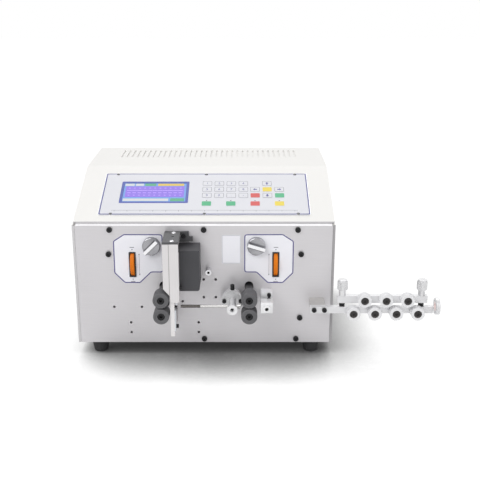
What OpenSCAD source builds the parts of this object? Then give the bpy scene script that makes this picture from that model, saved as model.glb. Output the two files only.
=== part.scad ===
// Bench-top wire cutting and stripping machine.
// A cream sheet-metal hood with a sloping keypad console stands on a chassis pan with rubber feet.
// A thick front plate carries two pairs of feed rollers, a blade head, a swinging wire conduit,
// an inlet guide and a wire straightener that reaches out to the right.
// Machine coordinates: x from the middle of the hood, y from the face of the front plate towards
// the back, z up from the bench.

/* [Housing] */
// Width of the hood
hood_w = 400; // [380:1:460]
// Depth from the face of the front plate to the back edge of the hood
case_d = 306; // [290:1:360]
// Height of the underside of the case above the bench
foot_h = 20; // [14:1:30]
// Height of the front plate
plate_h = 193; // [190:1:215]
// Thickness of the front plate
plate_t = 10; // [8:0.5:12]
// Sheet thickness of the hood
hood_t = 1.5; // [1:0.1:2.5]
// Sheet thickness of the chassis pan
pan_t = 1.5; // [1:0.1:2.5]
// Rise of the sloping console from the plate's top to the flat top
console_rise = 55.5; // [45:0.5:80]
// Depth at which the console meets the flat top
console_end = 158; // [140:1:190]
// Width of the folded hem beside the front plate
hem_w = 3.7; // [3:0.1:6]
// Diameter of the rubber feet at the top
foot_d = 28; // [24:1:34]
// Number of vent slots in the flat top
vent_count = 34; // [20:1:38]
// Pitch of the vent slots
vent_pitch = 9.2; // [8:0.1:10]
// Length of a vent slot
vent_len = 56; // [30:1:60]

/* [Wire line] */
// Height of the wire line above the lower edge of the front plate
wire_h = 80; // [76:0.5:86]
// Distance of the wire line in front of the plate
wire_out = 45; // [42:0.5:48]

/* [Feed rollers] */
// Diameter of the feed rollers
roller_d = 24; // [22:0.1:24.5]
// Length of the feed rollers
roller_len = 24; // [20:0.5:26]
// Gap between the upper and the lower roller at rest
nip_gap = 1.8; // [1:0.1:2.4]
// Half the distance between the two pairs of feed rollers
roller_x = 66; // [65.5:0.5:67]
// Offset of the middle between the pairs from the middle of the plate
roller_mid = 3; // [2:0.5:3.5]
// Diameter of the roller shafts
shaft_d = 10; // [8:0.1:10.5]
// Outside diameter of the black bearing sleeves
sleeve_d = 12.4; // [12:0.1:13]
// Teeth on each roller gear
gear_teeth = 13; // [13:1:17]
// Lift of the upper rollers over the whole turn of a gap knob
lift = 3; // [1.5:0.1:3.2]

/* [Gap knobs] */
// Distance of the gap knobs from the middle of the plate
knob_x = 80; // [78:0.5:84]
// Height of the gap knobs above the lower edge of the plate
knob_h = 161; // [158:0.5:163]
// Diameter of a gap knob
knob_d = 28; // [24:0.5:30]
// Length that a gap knob stands out of the plate
knob_out = 14; // [10:0.5:20]
// Turn of a gap knob in degrees
knob_turn = 120; // [90:5:130]
// Direction of the left knob's grip
left_grip_angle = 45; // [-90:1:90]
// Direction of the right knob's grip
right_grip_angle = -17; // [-90:1:90]

/* [Pressure wheels] */
// Distance of the pressure wheels from the middle of the plate
wheel_x = 110; // [108:0.5:114]
// Height of the pressure wheels above the lower edge of the plate
wheel_h = 130.5; // [125:0.5:134]
// Diameter of a pressure wheel
wheel_d = 48; // [40:0.5:50]
// Width of a pressure wheel
wheel_w = 6.4; // [4:0.1:8]
// Length that a pressure wheel stands out of the plate
wheel_out = 7; // [5:0.1:8]
// Width of the window frame's border
frame_border = 1.2; // [0.8:0.1:2]

/* [Blade head] */
// Left face of the lower blade holder, from the middle of the plate
head_x = -49; // [-50:0.1:-48.5]
// Thickness of the lower blade holder
lower_bar_t = 6; // [5:0.1:6.5]
// Thickness of a blade
blade_t = 2; // [1.5:0.1:2.5]
// Width of a blade
blade_w = 13; // [10:0.5:14]
// Opening between the tips of the open blades
blade_gap = 9; // [8.6:0.1:10]
// Depth of the vee in each blade
vee_depth = 2.5; // [1.5:0.1:3]
// Distance of the guard's face in front of the plate
guard_out = 55; // [54:0.5:58]
// Height of the blade head's shelf above the top of the sensor cover
shelf_h = 18.4; // [17:0.1:24]
// Distance of each crank pin from the crank's axis
crank_throw = 18; // [17:0.5:20]

/* [Sensor cover] */
// Left side of the dark sensor cover, from the middle of the plate
cover_x = -38; // [-38.2:0.1:-36]
// Width of the sensor cover
cover_w = 32.7; // [28:0.1:33]
// Height of the sensor cover's lower edge above the lower edge of the plate
cover_h = 102; // [98:0.5:106]
// Height of the sensor cover itself
cover_tall = 64; // [56:0.5:65]
// Depth of the sensor cover
cover_out = 39; // [30:0.5:39]

/* [Conduit] */
// Distance of the swing axis from the middle of the plate
swing_x = 43.5; // [43:0.1:44]
// Diameter of the swing bearing's flange
swing_flange_d = 34; // [30:0.5:35]
// Distance of the flange's face in front of the plate
swing_flange_out = 24; // [20:0.5:26]
// Diameter of the swing shaft
swing_shaft_d = 10.4; // [10:0.1:11]
// Diameter of the cap on the swing shaft
swing_cap_d = 16; // [13:0.5:18]
// Outside diameter of the conduit tube
tube_d = 4.6; // [4:0.1:5]
// Bore of the conduit tube
tube_bore = 3.2; // [2.4:0.1:3.4]

/* [Inlet guide] */
// Distance of the inlet guide's left side from the middle of the plate
inlet_x = 87; // [86:0.5:90]
// Width of the inlet guide
inlet_w = 17; // [15:0.5:20]
// Bore of the inlet guide
inlet_bore = 6; // [4.5:0.1:7]

/* [Straightener] */
// Left end of the straightener's lower bar, from the middle of the plate
bar_x = 161; // [159:0.5:163]
// Length of the lower bar
bar_len = 187; // [185:0.5:200]
// Thickness of both bars
bar_t = 8; // [7:0.1:9]
// Distance of the bars' back in front of the plate
bar_back = 30; // [29.5:0.1:31]
// Diameter of the straightening rollers
guide_d = 20.4; // [19:0.1:21]
// Width of the straightening rollers
guide_w = 12.7; // [12:0.1:13]
// Pitch of the straightening rollers in each row
guide_pitch = 32.2; // [31.8:0.1:33]
// Gap between the two rows of straightening rollers
guide_gap = 0.6; // [0.4:0.1:1.5]
// Height of the thumb screws' knurled heads
thumb_head_h = 15; // [10:0.5:18]
// Diameter of the wire eyelet's holder
eyelet_d = 25.4; // [22:0.1:28]
// Bore of the ceramic wire eyelet
eyelet_bore = 8; // [6:0.1:10]

/* [Control panel] */
// Width of the control panel
panel_w = 329; // [326:1:340]
// Length of the control panel along the slope
panel_len = 115.5; // [113:0.5:118]
// Distance of the panel's lower edge from the console's front edge
panel_from = 16.2; // [14:0.1:18]
// Thickness of the panel
panel_t = 1.2; // [1:0.1:2]
// Thickness of the keypad film
film_t = 0.4; // [0.3:0.1:0.8]
// Height of the embossed keys
key_rise = 0.5; // [0.3:0.1:1]
// Width of a key
key_w = 15.2; // [12:0.1:16]
// Length of a key along the slope
key_len = 12.4; // [10:0.1:13]
// Width of the display
display_w = 108.5; // [100:0.5:110]
// Length of the display along the slope
display_len = 60; // [54:0.5:62]

/* [Inside] */
// Side of the square stepper motors
motor_side = 57; // [54:0.5:57.5]
// Length of the stepper motors
motor_len = 56; // [41:1:76]
// Distance of the motor plate behind the front plate
motor_gap = 29; // [28.5:0.5:32]
// Width of the power supply
supply_w = 110; // [90:1:120]
// Depth of the power supply
supply_d = 120; // [100:1:130]
// Height of the power supply
supply_h = 38; // [30:1:45]
// Width of the control board
board_w = 96; // [80:1:104]
// Depth of the control board
board_d = 130; // [110:1:140]
// Width of the air slots in the rear wall
air_w = 150; // [100:1:170]
// Height of the air slots in the rear wall
air_h = 10; // [6:0.5:10]
// Number of air slots in the rear wall
air_count = 4; // [2:1:5]

/* [Fits] */
// Radial clearance of running shafts
running = 0.05; // [0.02:0.01:0.08]
// Clearance between sliding flat faces
slide_gap = 0.3; // [0.2:0.05:0.4]

/* [Hidden] */
$fn = 48;
tiny = 0.02;
case_z = foot_h;
plate_top = case_z + plate_h;
wire_z = case_z + wire_h;
wire_y = -wire_out;
hood_half = hood_w / 2;
hood_in = hood_half - hood_t;
plate_w = hood_w - 2 * (hem_w + slide_gap);

// Console: its front edge lies just behind the plate, one millimetre above the plate's top.
console_y = plate_t + 1;
console_z = plate_top + 2.5;
hood_top = plate_top + console_rise;
console_a = atan2(hood_top - console_z, console_end - console_y);
console_len = norm([hood_top - console_z, console_end - console_y]);
lip_h = 16;
bend_r = 4;
console_bend_r = 14;

// Feed rollers
axis_gap = roller_d + nip_gap;
lower_z = wire_z - axis_gap / 2;
upper_z = wire_z + axis_gap / 2;
roller_front = wire_y - roller_len / 2;
roller_back = wire_y + roller_len / 2;
gear_m = axis_gap / gear_teeth;
gear_from = plate_t + 9;
gear_face = 9;
carriage_w = 25;
carriage_half_h = 13;
pocket_depth = plate_t / 2;
carriage_back = gear_from - 1.5;
bush_r = sleeve_d / 2 + 1.8;
knob_z = case_z + knob_h;
knob_shaft_r = 4;
cam_r = 6;
cam_gap = 0.35;

// Pressure wheels
wheel_z = case_z + wheel_h;
wheel_r = wheel_d / 2;
wheel_y = wheel_r - wheel_out;
window_web = 2;
cheek_t = 0.9;
cheek_out = wheel_w / 2 + slide_gap + cheek_t;
slot_half_h = sqrt(pow(wheel_r, 2) - pow(wheel_y - window_web, 2)) + slide_gap;
wheel_axle_r = 2.5;

// Blade head, from left to right: lower holder, lower blade, upper blade, upper holder
lower_bar_x1 = head_x + lower_bar_t;
lower_blade_x1 = lower_bar_x1 + blade_t;
upper_blade_x0 = lower_blade_x1 + slide_gap;
upper_bar_x0 = upper_blade_x0 + blade_t;
upper_bar_x1 = upper_bar_x0 + 3.5;
blade_travel = blade_gap / 2 + vee_depth + 0.2;
guard_t = 2;
guard_back = guard_t - guard_out;
head_front = guard_back + 0.4;
lip_t = 3.6;
cover_z = case_z + cover_h;
shelf_z = cover_z + cover_tall + shelf_h;
shelf_t = 3.4;
tongue_top = shelf_z - shelf_t - 17;
tongue_bottom = tongue_top - 12;
tongue_x1 = cover_x - 1;
lower_tongue_bottom = wire_z - 46;
lower_tongue_top = wire_z - 25;
crank_x = -31;
crank_z = wire_z + 50;
crank_pin_r = 3;
yoke_gap = 0.3;
crank_from = gear_from + 9;
crank_turn = asin(blade_travel / crank_throw);
pin_shift = crank_throw * (1 - cos(crank_turn));
upper_yoke_from = plate_t + 9;
upper_yoke_to = upper_yoke_from + 7;
lower_yoke_from = plate_t + 0.6;
lower_yoke_to = lower_yoke_from + 6.8;

// Sensor cover
cover_t = 1.5;

// Conduit
swing_z = wire_z;
flange_t = 8;
hub_r = 12;
swing_r = swing_shaft_d / 2;
swing_cap_t = 6;
swing_tip = wire_y - 10;
spigot_r = 8;
tube_from = upper_bar_x1 + 1.2;
tube_to = feed_x(1) - roller_d / 2 - 1.6;

// Straightener
bar_front = -(bar_back + bar_t);
bar_end = bar_x + bar_len;
end_room = 25.6;
upper_bar_inset = 10;
lower_bar_top = wire_z - 4;
lower_bar_low = wire_z - 14.5;
upper_bar_low = wire_z + 2.3;
upper_bar_top = wire_z + 13.5;
lower_guide_z = wire_z - guide_gap / 2 - guide_d / 2 - 0.5;
upper_guide_z = lower_guide_z + guide_d + guide_gap;
guide_x = bar_end - end_room - 3 * guide_pitch;
upper_guide_x = guide_x + guide_pitch / 2;
guide_front = bar_front - slide_gap - guide_w;
axle_r = 3;
upper_bar_len = 136;
upper_bar_x = bar_end - upper_bar_inset - upper_bar_len;
thumb_x = [upper_bar_x + 7.6, upper_bar_x + upper_bar_len - 8.7];
thumb_y = bar_front + bar_t / 2;
eyelet_t = 6;

// Rear wall and inside
pan_half = hood_in - slide_gap;
wall_back = case_d - 6.5;
air_x = -80;
air_pitch = air_h + 8;
air_z = hood_top - 35 - (air_count - 1) * air_pitch;
supply_corner = [-pan_half + 14, wall_back - supply_d - 30, case_z + pan_t];
board_corner = [12, wall_back - board_d - 30];
board_up = 8;
board_t = 1.6;
post_w = 58;
motor_from = plate_t + motor_gap;
motor_plate_t = 6;
motor_face = motor_from + motor_plate_t;

// Fastener places on the plate, as x and z
screw_head_r = 4.3;
screw_head_h = 3;
screw_r = 2;
top_row = plate_top - 6.5;
mid_row = plate_top - 45.5;
plate_screws = [
    [-143, top_row], [0, top_row], [143, top_row], [-146, mid_row], [148.6, mid_row],
    [148.6, case_z + 42.3], [-1, case_z + 6.3], [143.3, case_z + 6.3]
];
// Drilled holes for accessories
hole_r = 2.1;
chute_x = [-115.8, -9.8];
chute_z = [case_z + 17.1, case_z + 33.8];
rest_x = [-141.2, -98.1];
rest_z = case_z + 60.1;
side_x = [-1.1, 17.5];
side_z = [case_z + 76.3, case_z + 105.8];
stop_hole = [-34.3, case_z + 69.5];
post_at = [7, case_z + 122];
post_r = 4.5;
post_len = 14;
post_thread_r = 1.65;
post_thread_len = 10;
hood_screw_y = plate_t + 10;
hood_screw_z = [case_z + 32, case_z + 129];
hood_head_h = 2.2;
foot_x = hood_half - 32;
foot_y = [18, case_d - 20];
panel_screw_x = [-145, 0, 145];
panel_screw_s = [panel_from + 2.8, panel_from + panel_len - 3.5];
panel_screw_r = 1.3;

// The bounding box's middle, which becomes the part's origin
box_left = -hood_half - hood_head_h;
box_right = bar_end + eyelet_t;
box_front = swing_tip - swing_cap_t;
mid_x = (box_left + box_right) / 2;
mid_y = (box_front + case_d) / 2;

// Bodies between two corners, and rods along each axis
module block(low, high) {
    translate(low) cube(high - low);
}
module rod_x(r, x0, x1) {
    translate([x0, 0, 0]) rotate([0, 90, 0]) cylinder(r = r, h = x1 - x0);
}
module rod_y(r, y0, y1) {
    translate([0, y0, 0]) rotate([-90, 0, 0]) cylinder(r = r, h = y1 - y0);
}
module rod_z(r, z0, z1) {
    translate([0, 0, z0]) cylinder(r = r, h = z1 - z0);
}
// A flat outline in x and z made thick along y, and one in y and z made thick along x
module along_y(y0, y1) {
    translate([0, y1, 0]) rotate([90, 0, 0]) linear_extrude(y1 - y0) children();
}
module along_x(x0, x1) {
    translate([x0, 0, 0]) rotate([90, 0, 90]) linear_extrude(x1 - x0) children();
}
// The console's own frame: x across, y up the slope, z out of the surface
module on_console() {
    translate([0, console_y, console_z]) rotate([console_a, 0, 0]) children();
}
module at(x, z) {
    translate([x, 0, z]) children();
}

// Outline points with the corner at b rounded to radius r
function unit(v) = v / norm(v);
function feed_x(s) = roller_mid + s * roller_x;
function arc_at(c, r, a0, a1, n) = [
    for (i = [0:n])
        let (a = a0 + (a1 - a0) * i / n)
            c + r * [cos(a), sin(a)]
];
function swing_of(a) = a > 180 ? a - 360 : (a < -180 ? a + 360 : a);
function round_corner(a, b, c, r) =
    let (u = unit(a - b), w = unit(c - b))
    let (half = acos(u * w) / 2)
    let (m = b + unit(u + w) * r / sin(half))
    let (p = b + u * r / tan(half) - m, q = b + w * r / tan(half) - m)
    let (a0 = atan2(p[1], p[0]))
    arc_at(m, r, a0, a0 + swing_of(atan2(q[1], q[0]) - a0), 8);

// A rounded rectangle about the origin
module pad(w, h, r) {
    hw = w / 2;
    hh = h / 2;
    polygon(concat(
        arc_at([hw - r, hh - r], r, 0, 90, 6), arc_at([r - hw, hh - r], r, 90, 180, 6),
        arc_at([r - hw, r - hh], r, 180, 270, 6), arc_at([hw - r, r - hh], r, 270, 360, 6)
    ));
}

// Involute gear outline with one tooth centred on the given direction
pressure_a = 20;
backlash = 0.4;
function involute(a) = tan(a) * 180 / PI - a;
function tooth_half(r, rp, rb) =
    (PI * gear_m / 2 - backlash) / 2 / rp * 180 / PI + involute(pressure_a)
    - involute(acos(rb / max(r, rb)));
module gear_outline(direction) {
    rp = axis_gap / 2;
    rb = rp * cos(pressure_a);
    tip = rp + gear_m;
    root = rp - 1.25 * gear_m;
    radii = [root, rb, (rb + rp) / 2, rp, (rp + tip) / 2, tip];
    polygon([for (k = [0:gear_teeth - 1])
        for (side = [-1, 1])
            for (i = [0:len(radii) - 1])
                let (r = side < 0 ? radii[i] : radii[len(radii) - 1 - i])
                let (a = direction + k * 360 / gear_teeth + side * tooth_half(r, rp, rb))
                r * [cos(a), sin(a)]]);
}

// A socket-head screw along +y, its head's underside at y = 0
module cap_screw(head_r, head_h, shank_r, shank_len) {
    difference() {
        union() {
            rod_y(head_r, -head_h, 0);
            rod_y(shank_r, 0, shank_len);
        }
        rotate([-90, 0, 0]) translate([0, 0, -head_h - 1])
            cylinder(r = head_r * 0.55, h = head_h * 0.6 + 1, $fn = 6);
    }
}
// A low domed screw with a cross slot along -z, its head's underside at z = 0
module dome_screw(head_r, head_h, shank_r, shank_len) {
    slot_w = head_r * 0.28;
    difference() {
        union() {
            intersection() {
                dome_r = (pow(head_r, 2) + pow(head_h, 2)) / (2 * head_h);
                translate([0, 0, head_h - dome_r]) sphere(r = dome_r);
                cylinder(r = head_r, h = head_h);
            }
            translate([0, 0, -shank_len]) cylinder(r = shank_r, h = shank_len + tiny);
        }
        for (a = [0, 90])
            rotate(a) translate([-head_r * 0.65, -slot_w / 2, head_h * 0.45])
                cube([head_r * 1.3, slot_w, head_h]);
    }
}

// Housing

// Bent chassis pan: floor, rear wall and two corner posts that carry the front plate
module chassis() {
    color("silver") difference() {
        union() {
            block([-pan_half, plate_t, case_z], [pan_half, wall_back, case_z + pan_t]);
            block(
                [-pan_half, wall_back - pan_t, case_z],
                [pan_half, wall_back, hood_top - hood_t - slide_gap]
            );
            for (s = [-1, 1]) {
                x_out = s * pan_half;
                x_side = s * (pan_half - pan_t);
                x_in = s * (pan_half - post_w);
                top = plate_top - lip_h - 4;
                block([min(x_out, x_in), plate_t, case_z], [max(x_out, x_in), plate_t + pan_t, top]);
                block([min(x_out, x_side), plate_t, case_z], [max(x_out, x_side), plate_t + 22, top]);
            }
        }
        // Clear way past the straight shaft of each plate screw, and the hood's own screws
        for (p = plate_screws)
            at(p[0], p[1]) rod_y(screw_r + 0.3, plate_t - 1, plate_t + pan_t + 1);
        at(rest_x[0], rest_z) rod_y(hole_r + 1.5, plate_t - 1, plate_t + pan_t + 1);
        for (z = hood_screw_z)
            translate([0, hood_screw_y, z]) rod_x(screw_r + tiny, -hood_half, hood_half);
        // Air slots and the power inlet's window in the rear wall
        for (i = [0:air_count - 1])
            at(air_x, air_z + i * air_pitch)
                along_y(wall_back - pan_t - 1, wall_back + 1) pad(air_w, air_h, air_h / 2 - 0.1);
        at(inlet_at[0], inlet_at[1])
            along_y(wall_back - pan_t - 1, wall_back + 1) pad(inlet_body[0] + 0.4, inlet_body[1] + 0.4, 2);
    }
}

// Thick front plate with the shaft bores, the carriage pockets, slots and drilled holes
module front_plate() {
    color("lightgray") difference() {
        at(0, case_z + plate_h / 2) along_y(0, plate_t) pad(plate_w, plate_h, 1.5);
        for (s = [-1, 1]) {
            at(feed_x(s), lower_z) rod_y(bush_r + tiny, -1, plate_t + 1);
            at(feed_x(s), upper_z) sleeve_slot();
            pocket_half = carriage_w / 2 + running;
            block(
                [feed_x(s) - pocket_half, pocket_depth, upper_z - carriage_half_h - slide_gap],
                [feed_x(s) + pocket_half, plate_t + 1, upper_z + carriage_half_h + lift + slide_gap]
            );
            at(s * knob_x, knob_z) rod_y(knob_shaft_r + running, -1, plate_t + 1);
            at(s * wheel_x, wheel_z) along_y(-1, plate_t) pad(2 * (cheek_out + 0.1), 2 * slot_half_h, 1);
            at(s * wheel_x, wheel_z) along_y(window_web, plate_t + 1) pad(2 * cheek_out + 4, wheel_d + 4, 1);
        }
        at(swing_x, swing_z) rod_y(spigot_r + tiny, -1, plate_t + 1);
        block(
            [head_x - slide_gap, -1, lower_tongue_bottom - slide_gap],
            [lower_bar_x1 + slide_gap, plate_t + 1, lower_tongue_top + blade_travel + slide_gap]
        );
        block(
            [head_x + 1 - slide_gap, -1, tongue_bottom - blade_travel - slide_gap],
            [tongue_x1 + slide_gap, plate_t + 1, tongue_top + slide_gap]
        );
        for (p = plate_screws)
            at(p[0], p[1]) rod_y(screw_r + tiny, -1, plate_t + 1);
        for (x = chute_x, z = chute_z)
            at(x, z) rod_y(hole_r, -1, plate_t + 1);
        for (x = rest_x)
            at(x, rest_z) rod_y(hole_r, -1, plate_t + 1);
        for (x = side_x, z = side_z)
            at(x, z) rod_y(hole_r, -1, plate_t + 1);
        at(stop_hole[0], stop_hole[1]) rod_y(hole_r, -1, plate_t + 1);
        // Small screw holes of the bracket flange
        at(bracket_screw[0], bracket_screw[1]) rod_y(screw_r + tiny, -1, plate_t + 1);
        for (s = [-1, 1])
            at(swing_x + s * flange_screw_x, swing_z) rod_y(screw_r + tiny, -1, plate_t + 1);
    }
}
module sleeve_slot() {
    r = sleeve_d / 2 + 0.5;
    rod_y(r, -1, plate_t + 1);
    translate([0, 0, lift]) rod_y(r, -1, plate_t + 1);
    block([-r, -1, 0], [r, plate_t + 1, lift]);
}

// Folded hood: sloping console, flat vented top and two sides with a hem beside the plate
module hood() {
    front = [console_y, console_z];
    kink = [console_end, hood_top];
    crown = [case_d, hood_top];
    lower_back = [case_d, case_z];
    shade = [hood_t * tan(console_a / 2), -hood_t];
    color("ivory") difference() {
        union() {
            along_x(-hood_half, hood_half) polygon(concat(
                [[0, case_z], [0, plate_top]],
                round_corner([0, plate_top], front, kink, bend_r / 2),
                round_corner(front, kink, crown, console_bend_r),
                [crown, lower_back]
            ));
        }
        block([-hood_in, -1, case_z - 1], [hood_in, plate_t + 0.2, hood_top]);
        block([-hood_in, -1, case_z - 1], [hood_in, plate_t + 0.2 + hood_t + 1, plate_top - lip_h]);
        along_x(-hood_in, hood_in) polygon(concat(
            [[plate_t + 0.2 + hood_t, case_z - 1], [plate_t + 0.2 + hood_t, console_z - hood_t]],
            round_corner(front + shade, kink + shade, crown - [0, hood_t], console_bend_r - hood_t),
            [crown + [1, -hood_t], [case_d + 1, case_z - 1]]
        ));
        for (i = [0:vent_count - 1])
            translate([(i - (vent_count - 1) / 2) * vent_pitch, case_d - 50, hood_top - hood_t - 1])
                linear_extrude(hood_t + 2) pad(3, vent_len, 1.45);
        on_console() block(
            [display_x - display_w / 2 - 1, display_s - display_len / 2 - 1, -2 * hood_t],
            [display_x + display_w / 2 + 1, display_s + display_len / 2 + 1, 1]
        );
        on_console() for (x = panel_screw_x, s = panel_screw_s)
            translate([x, s, 0]) rod_z(panel_screw_r + tiny, -2 * hood_t, 1);
        for (z = hood_screw_z)
            translate([0, hood_screw_y, z]) rod_x(screw_r + tiny, -hood_half - 1, hood_half + 1);
        for (p = plate_screws)
            if (p[1] == top_row)
                at(p[0], p[1]) rod_y(screw_r + 0.3, 0, plate_t + 2 * hood_t);
    }
    color("ivory") for (s = [-1, 1]) {
        x0 = s * (hood_in + tiny);
        x1 = s * (hood_half - hem_w);
        block([min(x0, x1), 0, case_z], [max(x0, x1), hood_t, plate_top - 1]);
    }
}

// Tapered rubber feet with a screw recess
module rubber_feet() {
    r = foot_d / 2;
    color([0.07, 0.07, 0.08]) for (s = [-1, 1], y = foot_y)
        translate([s * foot_x, y, 0]) rotate_extrude() polygon(concat(
            [[3.5, 0]],
            arc_at([r - 4.5, 1.5], 1.5, 270, 350, 4),
            [[r, case_z - 1], [r, case_z], [2, case_z], [2, 6], [3.5, 6]]
        ));
}

// Fasteners

flange_screw_x = 12.4;
bracket_screw = [upper_bar_x1 + 4.6, shelf_z - 6];
inlet_screw_z = [wire_z + 5.6, wire_z + 12.6];
inlet_screw_x = inlet_x + inlet_w - 5;
block_screw_x = [bar_x + 6.3, bar_x + 21.8];
block_screw_z = wire_z - 9;
// Black socket-head screws of the plate, the bracket, the flange, the guides and the straightener
module cap_screws() {
    color([0.08, 0.08, 0.09]) {
        for (p = plate_screws)
            at(p[0], p[1]) cap_screw(screw_head_r, screw_head_h, screw_r, plate_t + 4);
        translate([bracket_screw[0], -bracket_t, bracket_screw[1]])
            cap_screw(3.6, 3, screw_r, plate_t + bracket_t - 2);
        for (s = [-1, 1])
            translate([swing_x + s * flange_screw_x, -swing_flange_out, swing_z])
                cap_screw(3.2, 3, screw_r, swing_flange_out + pocket_depth - 1);
        translate([swing_x, -swing_flange_out + flange_t / 2, swing_z + swing_flange_d / 2])
            rotate([-90, 0, 0]) cap_screw(3.2, 8, 1.5, 4);
        for (z = inlet_screw_z)
            translate([inlet_screw_x, -bracket_out, z]) cap_screw(3, 3, screw_r, 16);
        for (x = block_screw_x)
            translate([x, bar_front, block_screw_z]) cap_screw(3.6, 3, screw_r, bar_t + 20);
        for (i = [0:3])
            at(guide_x + i * guide_pitch, lower_guide_z) axle_screw();
    }
}
// A shoulder screw on which a straightening roller turns
module axle_screw() {
    shoulder = guide_front + 4;
    translate([0, shoulder - slide_gap, 0])
        cap_screw(5, 3, axle_r, bar_t / 2 - bar_back - bar_t - shoulder + slide_gap);
}

// Bright screws of the hood, the panel and the bracket, and the threaded guard post
module case_screws() {
    color("gainsboro") {
        for (s = [-1, 1], z = hood_screw_z)
            translate([s * hood_half, hood_screw_y, z])
                rotate([0, s * 90, 0]) dome_screw(4, hood_head_h, screw_r, 8);
        on_console() for (x = panel_screw_x, s = panel_screw_s)
            translate([x, s, panel_t + film_t])
                dome_screw(2.6, 1.4, panel_screw_r, panel_t + film_t + hood_t + 3);
        for (y = shelf_screw_y)
            translate([shelf_screw_x, y, shelf_z]) dome_screw(3.4, 2, 1.5, shelf_t + 2);
        at(post_at[0], post_at[1]) difference() {
            rod_y(post_r, -post_len, 0);
            rod_y(post_thread_r, -post_len - 1, post_thread_len - post_len);
        }
    }
}

// Control panel on the console

display_x = -81.2;
display_s = panel_from + 61.2;
display_depth = 11;
key_pitch_x = 19.35;
key_pitch_s = 16.9;
key_top_s = panel_from + 85.3;
digit_x = 2.4;
arrow_x = 98.6;
row_s = panel_from + 29.2;
film_in = 1;
// Key centres: a block of twelve, a cross of seven and a bottom row of four
digit_keys = [for (r = [0:2], c = [0:3]) [digit_x + c * key_pitch_x, key_top_s - r * key_pitch_s]];
arrow_keys = concat(
    [[arrow_x, key_top_s]],
    [for (r = [1:2], c = [-1:1]) [arrow_x + c * key_pitch_x, key_top_s - r * key_pitch_s]]
);
start_keys = [for (c = [0:3]) [digit_x + c * 38.2, row_s]];

// Carrier plate of the control panel
module control_panel() {
    color("gainsboro") on_console() difference() {
        translate([0, panel_from + panel_len / 2, 0]) linear_extrude(panel_t) pad(panel_w, panel_len, 3);
        display_window(-1, panel_t + 1);
        panel_screw_holes(-1, panel_t + 1);
    }
}
module display_window(z0, z1) {
    translate([display_x, display_s, z0]) linear_extrude(z1 - z0) pad(display_w + 0.4, display_len + 0.4, 2);
}
module panel_screw_holes(z0, z1) {
    for (x = panel_screw_x, s = panel_screw_s)
        translate([x, s, 0]) rod_z(panel_screw_r + tiny, z0, z1);
}

// Printed membrane film with embossed keys
module keypad_overlay() {
    color("white") on_console() difference() {
        union() {
            translate([0, panel_from + panel_len / 2, panel_t])
                linear_extrude(film_t) pad(panel_w - 2 * film_in, panel_len - 2 * film_in, 3);
            for (k = concat(digit_keys, arrow_keys, start_keys))
                translate([k[0], k[1], panel_t]) linear_extrude(film_t + key_rise) pad(key_w, key_len, 1.6);
        }
        display_window(panel_t - 1, panel_t + film_t + 1);
        panel_screw_holes(panel_t - 1, panel_t + film_t + 1);
    }
}

// Colour display in its frame, seated in the panel's window from behind
module display_module() {
    border = 4;
    color([0.1, 0.15, 0.5]) on_console() translate([display_x, display_s, 0]) difference() {
        union() {
            translate([0, 0, -display_depth])
                linear_extrude(display_depth + panel_t + film_t) pad(display_w, display_len, 2);
        }
        translate([0, 0, panel_t + film_t - 0.6])
            linear_extrude(2) pad(display_w - 2 * border, display_len - 2 * border, 1);
    }
}

// Pressure wheels and gap knobs

// Black window frames with two cheeks each that hold a pressure wheel's axle
module wheel_housings() {
    color([0.06, 0.06, 0.07]) for (s = [-1, 1])
        at(s * wheel_x, wheel_z) difference() {
            union() {
                along_y(-1.2, 0) difference() {
                    pad(2 * (cheek_out + frame_border - 0.3), 2 * (slot_half_h + frame_border), 1);
                    pad(wheel_w + 2 * slide_gap, 2 * slot_half_h - 1, 0.5);
                }
                for (t = [-1, 1]) {
                    x0 = t * (cheek_out - cheek_t);
                    x1 = t * cheek_out;
                    block(
                        [min(x0, x1), -tiny, -slot_half_h + 4],
                        [max(x0, x1), wheel_y + 5, slot_half_h - 4]
                    );
                }
            }
            translate([0, wheel_y, 0]) rod_x(wheel_axle_r + running, -cheek_out - 1, cheek_out + 1);
        }
}

// Orange thumb wheel that sets the roller pressure, with its axle stubs
module pressure_wheel(s) {
    edge = 1.2;
    half = wheel_w / 2;
    color("orange") translate([s * wheel_x, wheel_y, wheel_z]) rotate([0, 90, 0]) rotate_extrude($fn = 96)
        polygon(concat(
            [[0, -cheek_out], [wheel_axle_r, -cheek_out], [wheel_axle_r, -half], [wheel_r - edge, -half]],
            arc_at([wheel_r - edge, edge - half], edge, 270, 360, 4),
            arc_at([wheel_r - edge, half - edge], edge, 0, 90, 4),
            [[wheel_axle_r, half], [wheel_axle_r, cheek_out], [0, cheek_out]]
        ));
}

// Chrome knob with a bar grip, its shaft through the plate and a spiral cam behind it
module gap_knob(s, angle) {
    skirt = knob_out * 0.45;
    grip_w = 8.5;
    color("gainsboro") at(s * knob_x, knob_z) {
        rotate([90, 0, 0]) translate([0, 0, slide_gap]) rotate_extrude() polygon(concat(
            [[0, 0], [knob_d / 2, 0]],
            arc_at([knob_d / 2 - 1.6, skirt - 1.6], 1.6, 0, 90, 4),
            [[0, skirt]]
        ));
        intersection() {
            rotate([90, 0, 0]) translate([0, 0, slide_gap]) cylinder(r = knob_d / 2 - 0.4, h = knob_out);
            rotate([0, -angle, 0]) along_x(-knob_d / 2, knob_d / 2) polygon([
                [-skirt, -grip_w / 2], [-knob_out + 1, -grip_w / 2 + 1.2], [-knob_out, -grip_w / 2 + 2.4],
                [-knob_out, grip_w / 2 - 2.4], [-knob_out + 1, grip_w / 2 - 1.2], [-skirt, grip_w / 2]
            ]);
        }
        rod_y(knob_shaft_r, -slide_gap - tiny, cam_to);
        along_y(cam_from, cam_to) spiral_cam();
    }
}
cam_from = plate_t + slide_gap;
cam_to = carriage_back - 0.2;
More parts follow.
